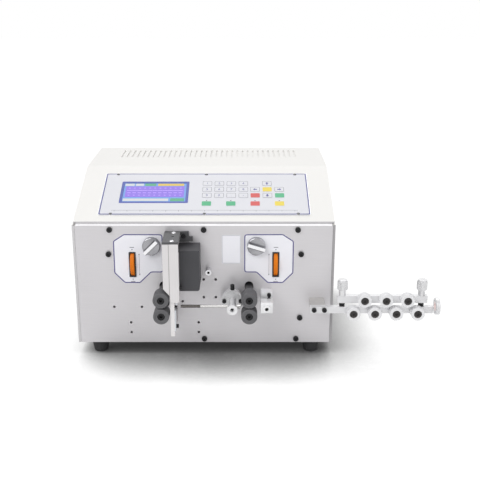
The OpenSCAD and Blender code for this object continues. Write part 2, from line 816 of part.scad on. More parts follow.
// Radius grows evenly as the knob turns, so the carriage above it rises evenly
module spiral_cam() {
    rise = lift / knob_turn;
    first = -50;
    last = 110;
    step = 5;
    polygon(concat(
        [for (a = [first:step:last]) (cam_r + rise * (90 - a)) * [cos(a), sin(a)]],
        arc_at([0, 0], cam_r - 1, last + 10, 300, 12)
    ));
}

// Feed drive

// Rubber-faced feed roller with a deep recess for the shaft's end
module feed_roller(s, z) {
    edge = 1;
    r = roller_d / 2;
    recess_r = 5.6;
    color([0.33, 0.33, 0.34]) at(feed_x(s), z) translate([0, roller_back, 0])
        rotate([90, 0, 0]) rotate_extrude($fn = 72)
        polygon(concat(
            [[shaft_d / 2 + tiny, 0]],
            arc_at([r - edge, edge], edge, 270, 360, 4),
            arc_at([r - edge, roller_len - edge], edge, 0, 90, 4),
            [[r - 3, roller_len], [r - 3.4, roller_len - 0.7], [recess_r, roller_len - 0.7]],
            [[recess_r, roller_len - recess_depth], [shaft_d / 2 + tiny, roller_len - recess_depth]]
        ));
}
recess_depth = 5;
shaft_front = roller_front + 1.4;
// Lower shaft with its gear, running back into the motor
module lower_shaft(s) {
    color("silver") at(feed_x(s), lower_z) {
        difference() {
            rod_y(shaft_d / 2, shaft_front, motor_face + 12);
            hex_socket();
        }
        along_y(gear_from, gear_from + gear_face) gear_outline(90);
    }
}
// Upper shaft with its gear, carried by the sliding carriage
module upper_shaft(s) {
    color("silver") at(feed_x(s), upper_z) {
        difference() {
            rod_y(shaft_d / 2, shaft_front, gear_from + gear_face);
            hex_socket();
        }
        along_y(gear_from, gear_from + gear_face) gear_outline(270 + 180 / gear_teeth);
    }
}
module hex_socket() {
    rotate([-90, 0, 0]) translate([0, 0, shaft_front - 1]) cylinder(r = shaft_d * 0.32, h = 5, $fn = 6);
}

// Sliding carriage in the plate's pocket: a black sleeve for the upper shaft and an arm to the cam
module carriage(s) {
    color([0.12, 0.12, 0.13]) difference() {
        union() {
            at(feed_x(s), upper_z) rod_y(sleeve_d / 2, roller_back + 0.6, pocket_depth + 1);
            block(
                [feed_x(s) - carriage_w / 2, pocket_depth + slide_gap, upper_z - carriage_half_h],
                [feed_x(s) + carriage_w / 2, carriage_back, upper_z + carriage_half_h]
            );
            arm_in = s * (knob_x - cam_r - lift - 2.4);
            arm_out = feed_x(s) - s * carriage_w / 2;
            block(
                [min(arm_in, arm_out), cam_from, upper_z],
                [max(arm_in, arm_out), carriage_back, follower_z + 6]
            );
            head_out = s * (knob_x + 11);
            block(
                [min(arm_out, head_out), cam_from, follower_z],
                [max(arm_out, head_out), carriage_back, follower_z + 6]
            );
        }
        at(feed_x(s), upper_z) rod_y(shaft_d / 2 + running, roller_back, carriage_back + 1);
    }
}
follower_z = knob_z + cam_r + cam_gap;

// Black flanged sleeves in the plate that carry the lower shafts
module roller_bearings() {
    color([0.12, 0.12, 0.13]) for (s = [-1, 1])
        at(feed_x(s), lower_z) difference() {
            union() {
                rod_y(sleeve_d / 2, roller_back + 0.6, plate_t);
                rod_y(bush_r, -3, plate_t);
            }
            rod_y(shaft_d / 2 + running, roller_back, plate_t + 1);
        }
}

// Square stepper motors of both feed shafts and the blade crank
motor_places = [[feed_x(-1), lower_z], [feed_x(1), lower_z], [crank_x, crank_z]];
module stepper_motors() {
    color([0.15, 0.15, 0.16]) for (p = motor_places)
        at(p[0], p[1]) difference() {
            union() {
                along_y(motor_face, motor_face + 8) pad(motor_side, motor_side, 4);
                along_y(motor_face + 8 - tiny, motor_face + motor_len - 8)
                    pad(motor_side - 3, motor_side - 3, 9);
                along_y(motor_face + motor_len - 8 - tiny, motor_face + motor_len)
                    pad(motor_side, motor_side, 4);
            }
            rod_y(shaft_d / 2 + running, motor_face - 1, motor_face + 14);
        }
}

// Motor plate on turned legs behind the front plate
module motor_plate() {
    legs = [
        [-roller_x - 36, lower_z - 20], [roller_x + 36, lower_z - 20], [5, lower_z - 34],
        [roller_x + 36, lower_z + 26], [crank_x + 46, crank_z + 38], [-roller_x - 36, lower_z + 26]
    ];
    color("darkgray") difference() {
        union() {
            along_y(motor_from, motor_face) polygon([
                [-roller_x - 44, lower_z - 42], [roller_x + 44, lower_z - 42], [roller_x + 44, lower_z + 34],
                [crank_x + 60, lower_z + 34], [crank_x + 60, crank_z + 46], [crank_x - 40, crank_z + 46],
                [crank_x - 40, lower_z + 34], [-roller_x - 44, lower_z + 34]
            ]);
            for (p = legs)
                at(p[0], p[1]) rod_y(5, plate_t, motor_from + tiny);
        }
        for (p = motor_places)
            at(p[0], p[1]) rod_y(shaft_d / 2 + 1.5, motor_from - 1, motor_face + 1);
        at(swing_x, swing_z) rod_y(swing_motor_r + 1, motor_from - 1, motor_face + 1);
    }
}

// Blade head

bracket_t = 4;
cover_clear = 2.4;
bracket_h = shelf_h - cover_clear;
shelf_x0 = head_x - 10;
shelf_x1 = upper_bar_x1;
bracket_x1 = shelf_x1 + 12.6;
shelf_screw_x = shelf_x1 - 9.6;
shelf_screw_y = [-guard_out + 5.5, -9];
// Dark bracket over the blades: a flange on the plate and a shelf that holds the guard
module head_bracket() {
    color([0.22, 0.22, 0.23]) difference() {
        union() {
            block([shelf_x0, -guard_out, shelf_z - shelf_t], [shelf_x1, 0, shelf_z]);
            block([shelf_x0, -bracket_t, shelf_z - bracket_h], [bracket_x1, 0, shelf_z]);
            block(
                [bracket_x1 - tiny, -bracket_t, shelf_z - bracket_h + 1],
                [bracket_x1 + 6, 0, shelf_z - bracket_h + 8]
            );
            along_x(shelf_x0, shelf_x0 + 3) polygon([
                [-bracket_t, shelf_z - 1], [-bracket_t, shelf_z - bracket_h],
                [-bracket_t - 12, shelf_z - shelf_t], [-bracket_t - 12, shelf_z - 1]
            ]);
        }
        for (y = shelf_screw_y)
            translate([shelf_screw_x, y, 0]) rod_z(1.5 + tiny, shelf_z - shelf_t - 1, shelf_z + 1);
        translate([shelf_screw_x, -guard_out / 2, 0]) rod_z(2, shelf_z - shelf_t - 1, shelf_z + 1);
        at(bracket_screw[0], bracket_screw[1]) rod_y(screw_r + tiny, -bracket_t - 1, 1);
    }
}

// Aluminium guard in front of the blades, hung from the shelf by a folded tab
module blade_guard() {
    low = wire_z + 9;
    top = shelf_z - shelf_t;
    crease = head_x + 1;
    side = crease - 1.5;
    step = 1;
    color("whitesmoke") difference() {
        union() {
            along_y(-guard_out, guard_back) polygon([
                [crease, low], [shelf_x1 - 2, low], [shelf_x1, low + 2.5], [shelf_x1, top], [crease, top]
            ]);
            along_y(-guard_out + step, guard_back) polygon([
                [crease + tiny, low], [crease + tiny, top], [shelf_x0, top],
                [shelf_x0, wire_z + 31], [side, wire_z + 20],
                [side, low]
            ]);
            block([shelf_x0, guard_back - tiny, top - 2], [shelf_x1, -guard_out + 30, top]);
            block([shelf_screw_x - 5, -guard_out + 29, top - 2], [shelf_x1, -bracket_t - 0.4, top]);
        }
        for (y = shelf_screw_y)
            translate([shelf_screw_x, y, 0]) rod_z(1.5 + tiny, top - 3, top + 1);
    }
}

// Upper holder: a narrow bar for the blade, a tongue through the plate and a slotted yoke
module upper_blade_holder() {
    slot_h = crank_pin_r + yoke_gap;
    pin_x = crank_x - crank_throw;
    tongue_x0 = head_x + 1;
    color("gainsboro") difference() {
        union() {
            block([upper_bar_x0, head_front, wire_z + 8], [upper_bar_x1, -cover_out - 1, tongue_top]);
            block([tongue_x0, head_front, tongue_bottom], [upper_bar_x1, -cover_out - 1, tongue_top]);
            block([tongue_x0, head_front, tongue_bottom], [tongue_x1, upper_yoke_to, tongue_top]);
            block([pin_x - 6.5, upper_yoke_from, crank_z - 7], [tongue_x1, upper_yoke_to, tongue_top]);
        }
        pin_slot(pin_x, pin_x + pin_shift, slot_h, upper_yoke_from - 1, upper_yoke_to + 1);
        translate([0, blade_mid, 0]) at(0, wire_z + 30) rod_x(1.6, upper_bar_x0 - 1, upper_bar_x1 + 1);
    }
}
module pin_slot(x0, x1, r, y0, y1) {
    for (x = [min(x0, x1), max(x0, x1)])
        at(x, crank_z) rod_y(r, y0, y1);
    block([min(x0, x1), y0, crank_z - r], [max(x0, x1), y1, crank_z + r]);
}
blade_front = head_front + 0.4;
blade_mid = blade_front + blade_w / 2;
// Steel blade with a vee notch, seen along the wire; the upper one points down, the lower one up
module vee_blade(x0, way, reach) {
    tip = way * blade_gap / 2;
    apex = way * (blade_gap / 2 + vee_depth);
    mouth = vee_depth * 1.6;
    color("lightsteelblue") difference() {
        along_x(x0, x0 + blade_t) polygon([
            [blade_front, wire_z + way * reach], [blade_front, wire_z + tip], [wire_y - mouth, wire_z + tip],
            [wire_y, wire_z + apex], [wire_y + mouth, wire_z + tip],
            [blade_front + blade_w, wire_z + tip], [blade_front + blade_w, wire_z + way * reach]
        ]);
        translate([0, blade_mid, wire_z + way * 30]) rod_x(1.6, x0 - 1, x0 + blade_t + 1);
    }
}
module upper_blade() {
    vee_blade(upper_blade_x0, 1, 38);
}
module lower_blade() {
    vee_blade(lower_bar_x1, -1, 38);
}

// Lower holder: a plate with a front lip beside the wire, a tongue and a yoke behind the plate
module lower_blade_holder() {
    slot_h = crank_pin_r + yoke_gap;
    pin_x = crank_x + crank_throw;
    seat_top = wire_z - blade_gap / 2 - vee_depth - 2.5;
    yoke_low = lower_tongue_bottom + 4;
    color("whitesmoke") difference() {
        union() {
            along_x(head_x, lower_bar_x1) polygon([
                [head_front, lower_tongue_bottom], [head_front, wire_z + 14],
                [head_front + lip_t, wire_z + 14],
                [head_front + lip_t, seat_top], [blade_front + blade_w + 4, seat_top],
                [blade_front + blade_w + 12, lower_tongue_top], [lower_yoke_to, lower_tongue_top],
                [lower_yoke_to, lower_tongue_bottom]
            ]);
            block([head_x, lower_yoke_from, yoke_low], [pin_x + 6, lower_yoke_to, yoke_low + 12]);
            block([pin_x - 6, lower_yoke_from, yoke_low], [pin_x + 6, lower_yoke_to, crank_z + 7]);
        }
        pin_slot(pin_x, pin_x - pin_shift, slot_h, lower_yoke_from - 1, lower_yoke_to + 1);
        translate([0, blade_mid, wire_z - 30]) rod_x(1.6, head_x - 1, lower_bar_x1 + 1);
    }
}

// Crank disc on the blade motor's shaft with one pin for each holder
module blade_crank() {
    disc_t = 5;
    color("silver") at(crank_x, crank_z) {
        rod_y(crank_throw + 7, crank_from, crank_from + disc_t);
        rod_y(shaft_d / 2, crank_from, motor_face + 12);
        at(-crank_throw, 0) rod_y(crank_pin_r, upper_yoke_from - 0.5, crank_from + 1);
        at(crank_throw, 0) rod_y(crank_pin_r, lower_yoke_from, crank_from + 1);
    }
}

// Dark sheet cover over the blade position sensor, with rounded lower corners
module sensor_cover() {
    r = 4;
    x1 = cover_x + cover_w;
    top = cover_z + cover_tall;
    color([0.28, 0.28, 0.3]) difference() {
        along_y(-cover_out, 0) polygon(concat(
            arc_at([cover_x + r, cover_z + r], r, 180, 270, 6), arc_at([x1 - r, cover_z + r], r, 270, 360, 6),
            arc_at([x1 - 1, top - 1], 1, 0, 90, 3), arc_at([cover_x + 1, top - 1], 1, 90, 180, 3)
        ));
        block(
            [cover_x + cover_t, cover_t - cover_out, cover_z + cover_t + 2],
            [x1 - cover_t, 1, top - cover_t]
        );
    }
}
// Sensor board with a slotted light barrier, screwed on the plate under its cover
module blade_sensor() {
    x0 = cover_x + cover_t + 4;
    z0 = cover_z + 10;
    color("darkgreen") difference() {
        union() {
            block([x0, -3, z0], [x0 + cover_w - 12, 0, z0 + 26]);
            block([x0 + 4, -18, z0 + 6], [x0 + 17, -2.9, z0 + 19]);
        }
        block([x0 + 3, -19, z0 + 10.5], [x0 + 18, -7, z0 + 14.5]);
    }
}

// Swinging conduit

// Fixed bearing: spigot in the plate, round hub and screwed flange
module swing_bearing() {
    color("silver") at(swing_x, swing_z) difference() {
        union() {
            rod_y(spigot_r, -1, plate_t);
            rod_y(hub_r, -swing_flange_out + flange_t - tiny, 0);
            rod_y(swing_flange_d / 2, -swing_flange_out, -swing_flange_out + flange_t);
        }
        rod_y(swing_r + running, -swing_flange_out - 1, plate_t + 1);
        for (s = [-1, 1])
            at(s * flange_screw_x, 0) rod_y(screw_r + tiny, -swing_flange_out - 1, 1);
        translate([0, -swing_flange_out + flange_t / 2, 0])
            rod_z(1.5 + tiny, swing_flange_d / 2 - 4.2, swing_flange_d);
    }
}
swing_motor_r = 8.2;
motor_pin_r = 3;
// Small gear motor on a flange behind the plate that turns the swing shaft
module swing_motor() {
    color([0.2, 0.2, 0.22]) at(swing_x, swing_z) difference() {
        union() {
            along_y(plate_t, plate_t + 3) pad(17, 36, 2);
            rod_y(swing_motor_r, plate_t + 3 - tiny, plate_t + 33);
        }
        rod_y(motor_pin_r + running, plate_t - 1, plate_t + 20);
    }
}
// Swing shaft with its end cap, bored across for the conduit tube
module swing_shaft() {
    cap_tip = swing_tip - swing_cap_t;
    color("silver") at(swing_x, swing_z) difference() {
        union() {
            rod_y(swing_r, swing_tip - tiny, plate_t - 1);
            rod_y(motor_pin_r, plate_t - 1 - tiny, plate_t + 18);
            rod_y(swing_cap_d / 2, cap_tip, swing_tip);
        }
        rotate([-90, 0, 0]) translate([0, 0, cap_tip - 1]) cylinder(r = 3.4, h = 5, $fn = 6);
        translate([0, wire_y, 0]) rod_x(tube_d / 2 + tiny, -swing_cap_d, swing_cap_d);
    }
}
// Wire conduit: a thin tube with a funnel at the feed side
module conduit_tube() {
    wall = (tube_d - tube_bore) / 2;
    bore_r = tube_bore / 2;
    mouth = 2.4;
    neck = swing_x + swing_r + 1;
    color("silver") translate([0, wire_y, wire_z]) rotate([90, 0, 90]) rotate_extrude() polygon([
        [bore_r, tube_from], [bore_r + wall * 0.5, tube_from],
        [bore_r + wall, tube_from + 1], [bore_r + wall, neck],
        [bore_r + wall + mouth, tube_to], [bore_r + mouth, tube_to], [bore_r, neck]
    ]);
}

// Inlet guide

bracket_out = 30;
// Bracket on the plate with a clamp body and a bell-mouthed bore for the incoming wire
module inlet_guide() {
    x1 = inlet_x + inlet_w;
    boss_tip = wire_y - 13;
    clamp_front = wire_y - 10;
    color("gainsboro") difference() {
        union() {
            along_x(inlet_x, x1) polygon([
                [-bracket_out, wire_z - 4], [-bracket_out, wire_z + 16.5], [-bracket_out / 2, wire_z + 16.5],
                [0, wire_z + 8.5], [0, wire_z - 4]
            ]);
            along_x(inlet_x - 1, x1) polygon(concat(
                arc_at([clamp_front + 3, wire_z - 6], 3, 180, 270, 5),
                [[-bracket_out + tiny, wire_z - 9], [-bracket_out + tiny, wire_z + 2]],
                [[-bracket_out - 7, wire_z + 2], [-bracket_out - 7, wire_z + 9]],
                arc_at([clamp_front + 3, wire_z + 6], 3, 90, 180, 5)
            ));
            at(inlet_x + inlet_w / 2, wire_z) rod_y(5.5, boss_tip, wire_y);
        }
        translate([0, wire_y, wire_z]) {
            rod_x(inlet_bore / 2, inlet_x - 2, x1 + 1);
            translate([x1 - 4, 0, 0]) rotate([0, 90, 0])
                cylinder(r1 = inlet_bore / 2, r2 = inlet_bore / 2 + 4, h = 4 + tiny);
        }
        at(inlet_x + inlet_w / 2, wire_z) rotate([-90, 0, 0]) translate([0, 0, boss_tip - 1])
            cylinder(r = 2.8, h = 4, $fn = 6);
        for (z = inlet_screw_z)
            at(inlet_screw_x, z) rod_y(screw_r + tiny, -bracket_out - 1, -bracket_out / 2 + 2);
    }
}

// Straightener

module straightener_block() {
    color("silver") difference() {
        block([bar_x + 2, -bar_back, lower_bar_low - 3], [bar_x + 24, 0, lower_bar_top]);
        for (x = block_screw_x)
            at(x, block_screw_z) rod_y(screw_r + tiny, -bar_back - 1, -8);
    }
}

// Lower bar with the threaded holes of its rollers and of both thumb screws
module straightener_lower_bar() {
    color("gainsboro") difference() {
        block([bar_x, bar_front, lower_bar_low], [bar_end, -bar_back, lower_bar_top]);
        for (x = block_screw_x)
            at(x, block_screw_z) rod_y(screw_r + tiny, bar_front - 1, 0);
        for (i = [0:3])
            at(guide_x + i * guide_pitch, lower_guide_z)
                rod_y(axle_r + tiny, bar_front - 1, bar_front + bar_t / 2);
        for (x = thumb_x)
            translate([x, thumb_y, 0]) rod_z(axle_r + running, lower_bar_low - 1, lower_bar_top + 1);
    }
}

// Upper bar, drawn down on the wire by the thumb screws
module straightener_upper_bar() {
    color("gainsboro") difference() {
        block(
            [upper_bar_x, bar_front, upper_bar_low],
            [upper_bar_x + upper_bar_len, -bar_back, upper_bar_top]
        );
        for (i = [0:2])
            at(upper_guide_x + i * guide_pitch, upper_guide_z)
                rod_y(axle_r + tiny, bar_front - 1, bar_front + bar_t / 2);
        for (x = thumb_x)
            translate([x, thumb_y, 0]) rod_z(axle_r + running, upper_bar_low - 1, upper_bar_top + 1);
    }
}
module upper_axle_screws() {
    color([0.08, 0.08, 0.09]) for (i = [0:2])
        at(upper_guide_x + i * guide_pitch, upper_guide_z) axle_screw();
}

// Grooved straightening roller with a recess for its screw head
module guide_roller(x, z) {
    r = guide_d / 2;
    edge = 0.8;
    groove = 0.5;
    recess = 4;
    color("white") at(x, z) translate([0, bar_front - slide_gap, 0]) rotate([90, 0, 0]) rotate_extrude()
        polygon(concat(
            [[axle_r + running, 0]],
            arc_at([r - edge, edge], edge, 270, 360, 3),
            [[r, guide_w / 2 - 2], [r - groove, guide_w / 2 - 1]],
            [[r - groove, guide_w / 2 + 1], [r, guide_w / 2 + 2]],
            arc_at([r - edge, guide_w - edge], edge, 0, 90, 3),
            [[6, guide_w], [6, guide_w - recess], [axle_r + running, guide_w - recess]]
        ));
}

// Thumb screw with a ribbed head, a plain neck and its threaded end
module thumb_screw(x) {
    head_r = 7.8;
    ribs = 24;
    neck_top = upper_bar_top + 10;
    color("gainsboro") translate([x, thumb_y, 0]) {
        rod_z(axle_r, lower_bar_low + 0.5, upper_bar_top + tiny);
        rod_z(5.2, upper_bar_top, neck_top + tiny);
        translate([0, 0, neck_top]) linear_extrude(thumb_head_h - 1.5) polygon([for (i = [0:2 * ribs - 1])
            (head_r - 0.5 * (i % 2)) * [cos(i * 180 / ribs), sin(i * 180 / ribs)]]);
        rod_z(head_r - 1.2, neck_top, neck_top + thumb_head_h);
    }
}

// Ring at the bar's end and the flared ceramic eyelet pressed into it
eyelet_seat_r = eyelet_bore / 2 + 3.2;
module eyelet_holder() {
    color("whitesmoke") translate([bar_end, wire_y, wire_z])
        rotate([90, 0, 90]) rotate_extrude($fn = 72) polygon(concat(
        [[eyelet_seat_r, 0]], arc_at([eyelet_d / 2 - 1, 1], 1, 270, 360, 3),
        arc_at([eyelet_d / 2 - 1, eyelet_t - 1], 1, 0, 90, 3), [[eyelet_seat_r, eyelet_t]]
    ));
}
module wire_eyelet() {
    r = eyelet_bore / 2;
    flare = 1.6;
    color("mistyrose") translate([bar_end, wire_y, wire_z])
        rotate([90, 0, 90]) rotate_extrude($fn = 72) polygon(concat(
        [[eyelet_seat_r - tiny, 0]], [[eyelet_seat_r - tiny, eyelet_t]],
        arc_at([r + flare, eyelet_t - flare], flare, 90, 180, 4),
        arc_at([r + flare, flare], flare, 180, 270, 4)
    ));
}

// Rear and inside

inlet_at = [120, case_z + 55];
inlet_body = [28, 48];
// Power inlet with its fuse drawer and the switch's frame
module power_inlet() {
    rim = 3;
    color([0.05, 0.05, 0.06]) at(inlet_at[0], inlet_at[1]) difference() {
        union() {
            along_y(wall_back, wall_back + 2.5) pad(inlet_body[0] + 2 * rim, inlet_body[1] + 2 * rim, 3);
            along_y(wall_back - 24, wall_back + 1) pad(inlet_body[0], inlet_body[1], 2);
        }
        at(0, -10) along_y(wall_back - 14, wall_back + 3) polygon([
            [-11.5, -7], [11.5, -7], [11.5, 4], [7, 8.5], [-7, 8.5], [-11.5, 4]
        ]);
        at(0, rocker_up) along_y(wall_back - 9, wall_back + 3) pad(rocker_w + 0.8, rocker_h + 1.6, 0.6);
        translate([0, rocker_y, rocker_up]) rod_x(1.5 + running, -rocker_w / 2 - 2.4, rocker_w / 2 + 2.4);
    }
    color("silver") at(inlet_at[0], inlet_at[1] - 10) for (x = [-7, 0, 7])
        block([x - 1, wall_back - 14.02, x == 0 ? 1.5 : -3.5], [x + 1, wall_back - 2, x == 0 ? 5.5 : 0.5]);
}
rocker_w = 20;
rocker_h = 12;
rocker_up = 14;
rocker_y = wall_back - 2;
// Rocker of the power switch on its two pivot stubs
module power_rocker() {
    half = rocker_h / 2 - 0.6;
    color([0.1, 0.1, 0.1]) translate([inlet_at[0], rocker_y, inlet_at[1] + rocker_up]) {
        along_x(-rocker_w / 2, rocker_w / 2) polygon(concat(
            [[-4, -half * 0.6], [0.5, -half]],
            arc_at([4.2 + 9, 0], 10, 215, 145, 8),
            [[0.5, half], [-4, half * 0.6]]
        ));
        rod_x(1.5, -rocker_w / 2 - 2, rocker_w / 2 + 2);
    }
}

// Enclosed power supply on the pan, with a vented lid
module power_supply() {
    step_x = supply_w / 11;
    step_y = supply_d / 8.5;
    color("lightgray") difference() {
        translate(supply_corner) cube([supply_w, supply_d, supply_h]);
        for (i = [1:9], j = [1:7])
            translate(supply_corner + [(i + 0.5) * step_x, (j + 0.25) * step_y, supply_h - 3])
                cylinder(r = step_x * 0.3, h = 4, $fn = 6);
    }
}

// Control board on spacers with its heat sink and connector blocks
module control_board() {
    low = case_z + pan_t;
    top = low + board_up + board_t;
    x0 = board_corner[0];
    x1 = x0 + board_w;
    y0 = board_corner[1];
    y1 = y0 + board_d;
    step = board_d / 5.65;
    color("darkgreen") {
        for (x = [x0 + 5, x1 - 5], y = [y0 + 5, y1 - 5])
            translate([x, y, 0]) rod_z(3, low, low + board_up + tiny);
        block([x0, y0, low + board_up], [x1, y1, top]);
        block(
            [x0 + board_w * 0.1, y0 + board_d * 0.15, top - tiny],
            [x0 + board_w * 0.42, y1 - board_d * 0.23, top + 20]
        );
        for (i = [0:4])
            block([x1 - 14, y0 + 10 + i * step, top - tiny], [x1 - 2, y0 + 5 + (i + 1) * step, top + 10]);
    }
}

// The finished part stands on its feet with the origin under the middle of its bounding box
module placed() {
    translate([-mid_x, -mid_y, 0]) children();
}
placed() chassis();
placed() front_plate();
placed() hood();
placed() rubber_feet();
placed() cap_screws();
placed() case_screws();
placed() control_panel();
placed() keypad_overlay();
placed() display_module();
placed() wheel_housings();
placed() stepper_motors();
placed() motor_plate();
placed() head_bracket();
placed() blade_guard();
placed() sensor_cover();
placed() blade_sensor();
placed() roller_bearings();
placed() swing_bearing();
placed() swing_motor();
placed() inlet_guide();
placed() straightener_block();
placed() straightener_lower_bar();
placed() eyelet_holder();
placed() wire_eyelet();
placed() power_inlet();
placed() power_supply();
placed() control_board();
placed() feed_roller(-1, lower_z);  // left_lower_roller
placed() lower_shaft(-1);  // left_lower_shaft
placed() feed_roller(-1, upper_z);  // left_upper_roller
placed() upper_shaft(-1);  // left_upper_shaft
placed() carriage(-1);  // left_carriage
placed() gap_knob(-1, left_grip_angle);  // left_gap_knob
placed() pressure_wheel(-1);  // left_pressure_wheel
placed() feed_roller(1, lower_z);  // right_lower_roller
placed() lower_shaft(1);  // right_lower_shaft
placed() feed_roller(1, upper_z);  // right_upper_roller
placed() upper_shaft(1);  // right_upper_shaft
placed() carriage(1);  // right_carriage
placed() gap_knob(1, right_grip_angle);  // right_gap_knob
placed() pressure_wheel(1);  // right_pressure_wheel
placed() blade_crank();
placed() upper_blade_holder();
placed() upper_blade();
placed() lower_blade_holder();
placed() lower_blade();
placed() swing_shaft();
placed() conduit_tube();
placed() straightener_upper_bar();
placed() upper_axle_screws();
placed() thumb_screw(thumb_x[0]);  // left_thumb_screw
placed() thumb_screw(thumb_x[1]);  // right_thumb_screw
placed() guide_roller(guide_x, lower_guide_z);  // lower_guide_1
placed() guide_roller(guide_x + guide_pitch, lower_guide_z);  // lower_guide_2
placed() guide_roller(guide_x + 2 * guide_pitch, lower_guide_z);  // lower_guide_3
placed() guide_roller(guide_x + 3 * guide_pitch, lower_guide_z);  // lower_guide_4
placed() guide_roller(upper_guide_x, upper_guide_z);  // upper_guide_1
placed() guide_roller(upper_guide_x + guide_pitch, upper_guide_z);  // upper_guide_2
placed() guide_roller(upper_guide_x + 2 * guide_pitch, upper_guide_z);  // upper_guide_3
placed() power_rocker();
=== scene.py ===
import math

import bmesh
import bpy
from mathutils import Matrix, Vector


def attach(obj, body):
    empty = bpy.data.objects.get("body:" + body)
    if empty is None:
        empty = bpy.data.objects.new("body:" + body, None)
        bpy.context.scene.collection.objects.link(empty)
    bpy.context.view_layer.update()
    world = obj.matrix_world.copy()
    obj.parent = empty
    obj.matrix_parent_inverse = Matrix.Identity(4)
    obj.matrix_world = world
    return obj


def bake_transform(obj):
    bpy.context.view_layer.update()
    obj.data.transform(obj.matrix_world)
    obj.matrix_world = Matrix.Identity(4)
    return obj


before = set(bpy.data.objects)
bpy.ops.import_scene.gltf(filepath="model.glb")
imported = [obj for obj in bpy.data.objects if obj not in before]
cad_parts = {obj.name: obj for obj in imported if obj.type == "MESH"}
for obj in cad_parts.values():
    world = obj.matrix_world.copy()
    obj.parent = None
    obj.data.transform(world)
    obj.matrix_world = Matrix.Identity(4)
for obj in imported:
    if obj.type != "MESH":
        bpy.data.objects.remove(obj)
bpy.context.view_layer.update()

# The studio: a white floor and world, three soft lamps and the camera, which looks down on the
# front plate from a little right of the hood's middle. Machine millimetres count from that middle,
# from the front of the plate and from the bench.
part_mid = (75.9, 122.5)
camera_mm = (55.1, -1204.6, 584.2)
camera_pitch = 17.79
camera_far = 20
focal_px = 832.7
frame_px = 480
sensor_mm = 36.0
principal_row = 235.2
lamp_aim = Vector((0, 0, 0.12))
studio_lamps = {
    "key_lamp": ((-1.3, -1.7, 1.9), 1.6, 34),
    "fill_lamp": ((1.7, -1.5, 1.3), 1.5, 9),
    "back_lamp": ((0.2, 1.5, 2.0), 1.8, 16),
}
world_strength = (0.42, 1.0)
floor_half = 6.0
floor_rough = 0.9
floor_grey = (0.93, 0.08)
floor_glow = (0.0, 1.0)
shade_reach = 0.14
shade_samples = 16
shade_lean = Vector((-0.34, 0.50, 0.76)).normalized()
shade_range = (0.24, 0.80)
shade_floor = 0.10
shade_depth = 1.6


def row(x, y, z):
    """Machine millimetres to the part's own frame in metres."""
    return Vector(((x - part_mid[0]) / 1000, (y - part_mid[1]) / 1000, z / 1000))


def feed(tree, socket, value):
    """Set a socket to a value, or link it to another socket."""
    if isinstance(value, bpy.types.NodeSocket):
        tree.links.new(value, socket)
    else:
        socket.default_value = value


def calc(tree, operation, *values):
    """The result of one operation on numbers or sockets."""
    node = tree.nodes.new("ShaderNodeMath")
    node.operation = operation
    for socket, value in zip(node.inputs, values):
        feed(tree, socket, value)
    return node.outputs[0]


def ranged(tree, value, source, target):
    """A value brought from one range to another."""
    node = tree.nodes.new("ShaderNodeMapRange")
    node.inputs["From Min"].default_value, node.inputs["From Max"].default_value = source
    node.inputs["To Min"].default_value, node.inputs["To Max"].default_value = target
    tree.links.new(value, node.inputs["Value"])
    return node.outputs["Result"]


def seen_directly(tree, levels):
    """The first level for lighting and the second for what the eye or a mirror sees."""
    rays = tree.nodes.new("ShaderNodeLightPath").outputs
    mirrored = calc(tree, "MAXIMUM", rays["Is Glossy Ray"], rays["Is Transmission Ray"])
    return ranged(tree, calc(tree, "MAXIMUM", rays["Is Camera Ray"], mirrored), (0, 1), levels)


scene = bpy.context.scene
scene.view_settings.view_transform = "Standard"
camera = bpy.data.objects.new("camera", bpy.data.cameras.new("camera"))
camera.data.sensor_width = sensor_mm
camera.data.lens = sensor_mm * focal_px / frame_px
camera.data.shift_y = (principal_row - frame_px / 2) / frame_px
camera.data.clip_end = camera_far
camera.location = row(*camera_mm)
camera.rotation_euler = (math.radians(90 - camera_pitch), 0, 0)
scene.collection.objects.link(camera)
scene.camera = camera

for lamp_name, (place, size, watts) in studio_lamps.items():
    lamp = bpy.data.lights.new(lamp_name, "AREA")
    lamp.size = size
    lamp.energy = watts
    lamp_object = bpy.data.objects.new(lamp_name, lamp)
    lamp_object.location = place
    lamp_object.rotation_euler = (lamp_aim - Vector(place)).to_track_quat("-Z", "Y").to_euler()
    scene.collection.objects.link(lamp_object)

world = bpy.data.worlds.new("studio")
scene.world = world
world.use_nodes = True
backdrop = world.node_tree.nodes["Background"]
backdrop.inputs["Color"].default_value = (1, 1, 1, 1)
feed(world.node_tree, backdrop.inputs["Strength"], seen_directly(world.node_tree, world_strength))

# The floor shows white and darkens close to the machine, where less of the sky is open to it. The
# sky is taken as leaning back and to the left, so that the shade spreads to the front right.
floor_mesh = bpy.data.meshes.new("floor")
floor_corners = [(floor_half * x, floor_half * y, 0) for x, y in ((-1, -1), (1, -1), (1, 1), (-1, 1))]
floor_mesh.from_pydata(floor_corners, [], [(0, 1, 2, 3)])
floor = bpy.data.objects.new("floor", floor_mesh)
scene.collection.objects.link(floor)
floor_paper = bpy.data.materials.new("floor_paper")
floor_paper.use_nodes = True
tree = floor_paper.node_tree
lean = tree.nodes.new("ShaderNodeNormal")
lean.outputs["Normal"].default_value = shade_lean
open_sky = tree.nodes.new("ShaderNodeAmbientOcclusion")
open_sky.samples = shade_samples
open_sky.inputs["Distance"].default_value = shade_reach
feed(tree, open_sky.inputs["Normal"], lean.outputs["Normal"])
shade = ranged(tree, open_sky.outputs["AO"], shade_range, (shade_floor, 1))
shade = calc(tree, "POWER", shade, shade_depth)
paper = tree.nodes["Principled BSDF"].inputs
paper["Roughness"].default_value = floor_rough
paper["Specular IOR Level"].default_value = 0.0
paper["Emission Color"].default_value = (1, 1, 1, 1)
feed(tree, paper["Emission Strength"], calc(tree, "MULTIPLY", seen_directly(tree, floor_glow), shade))
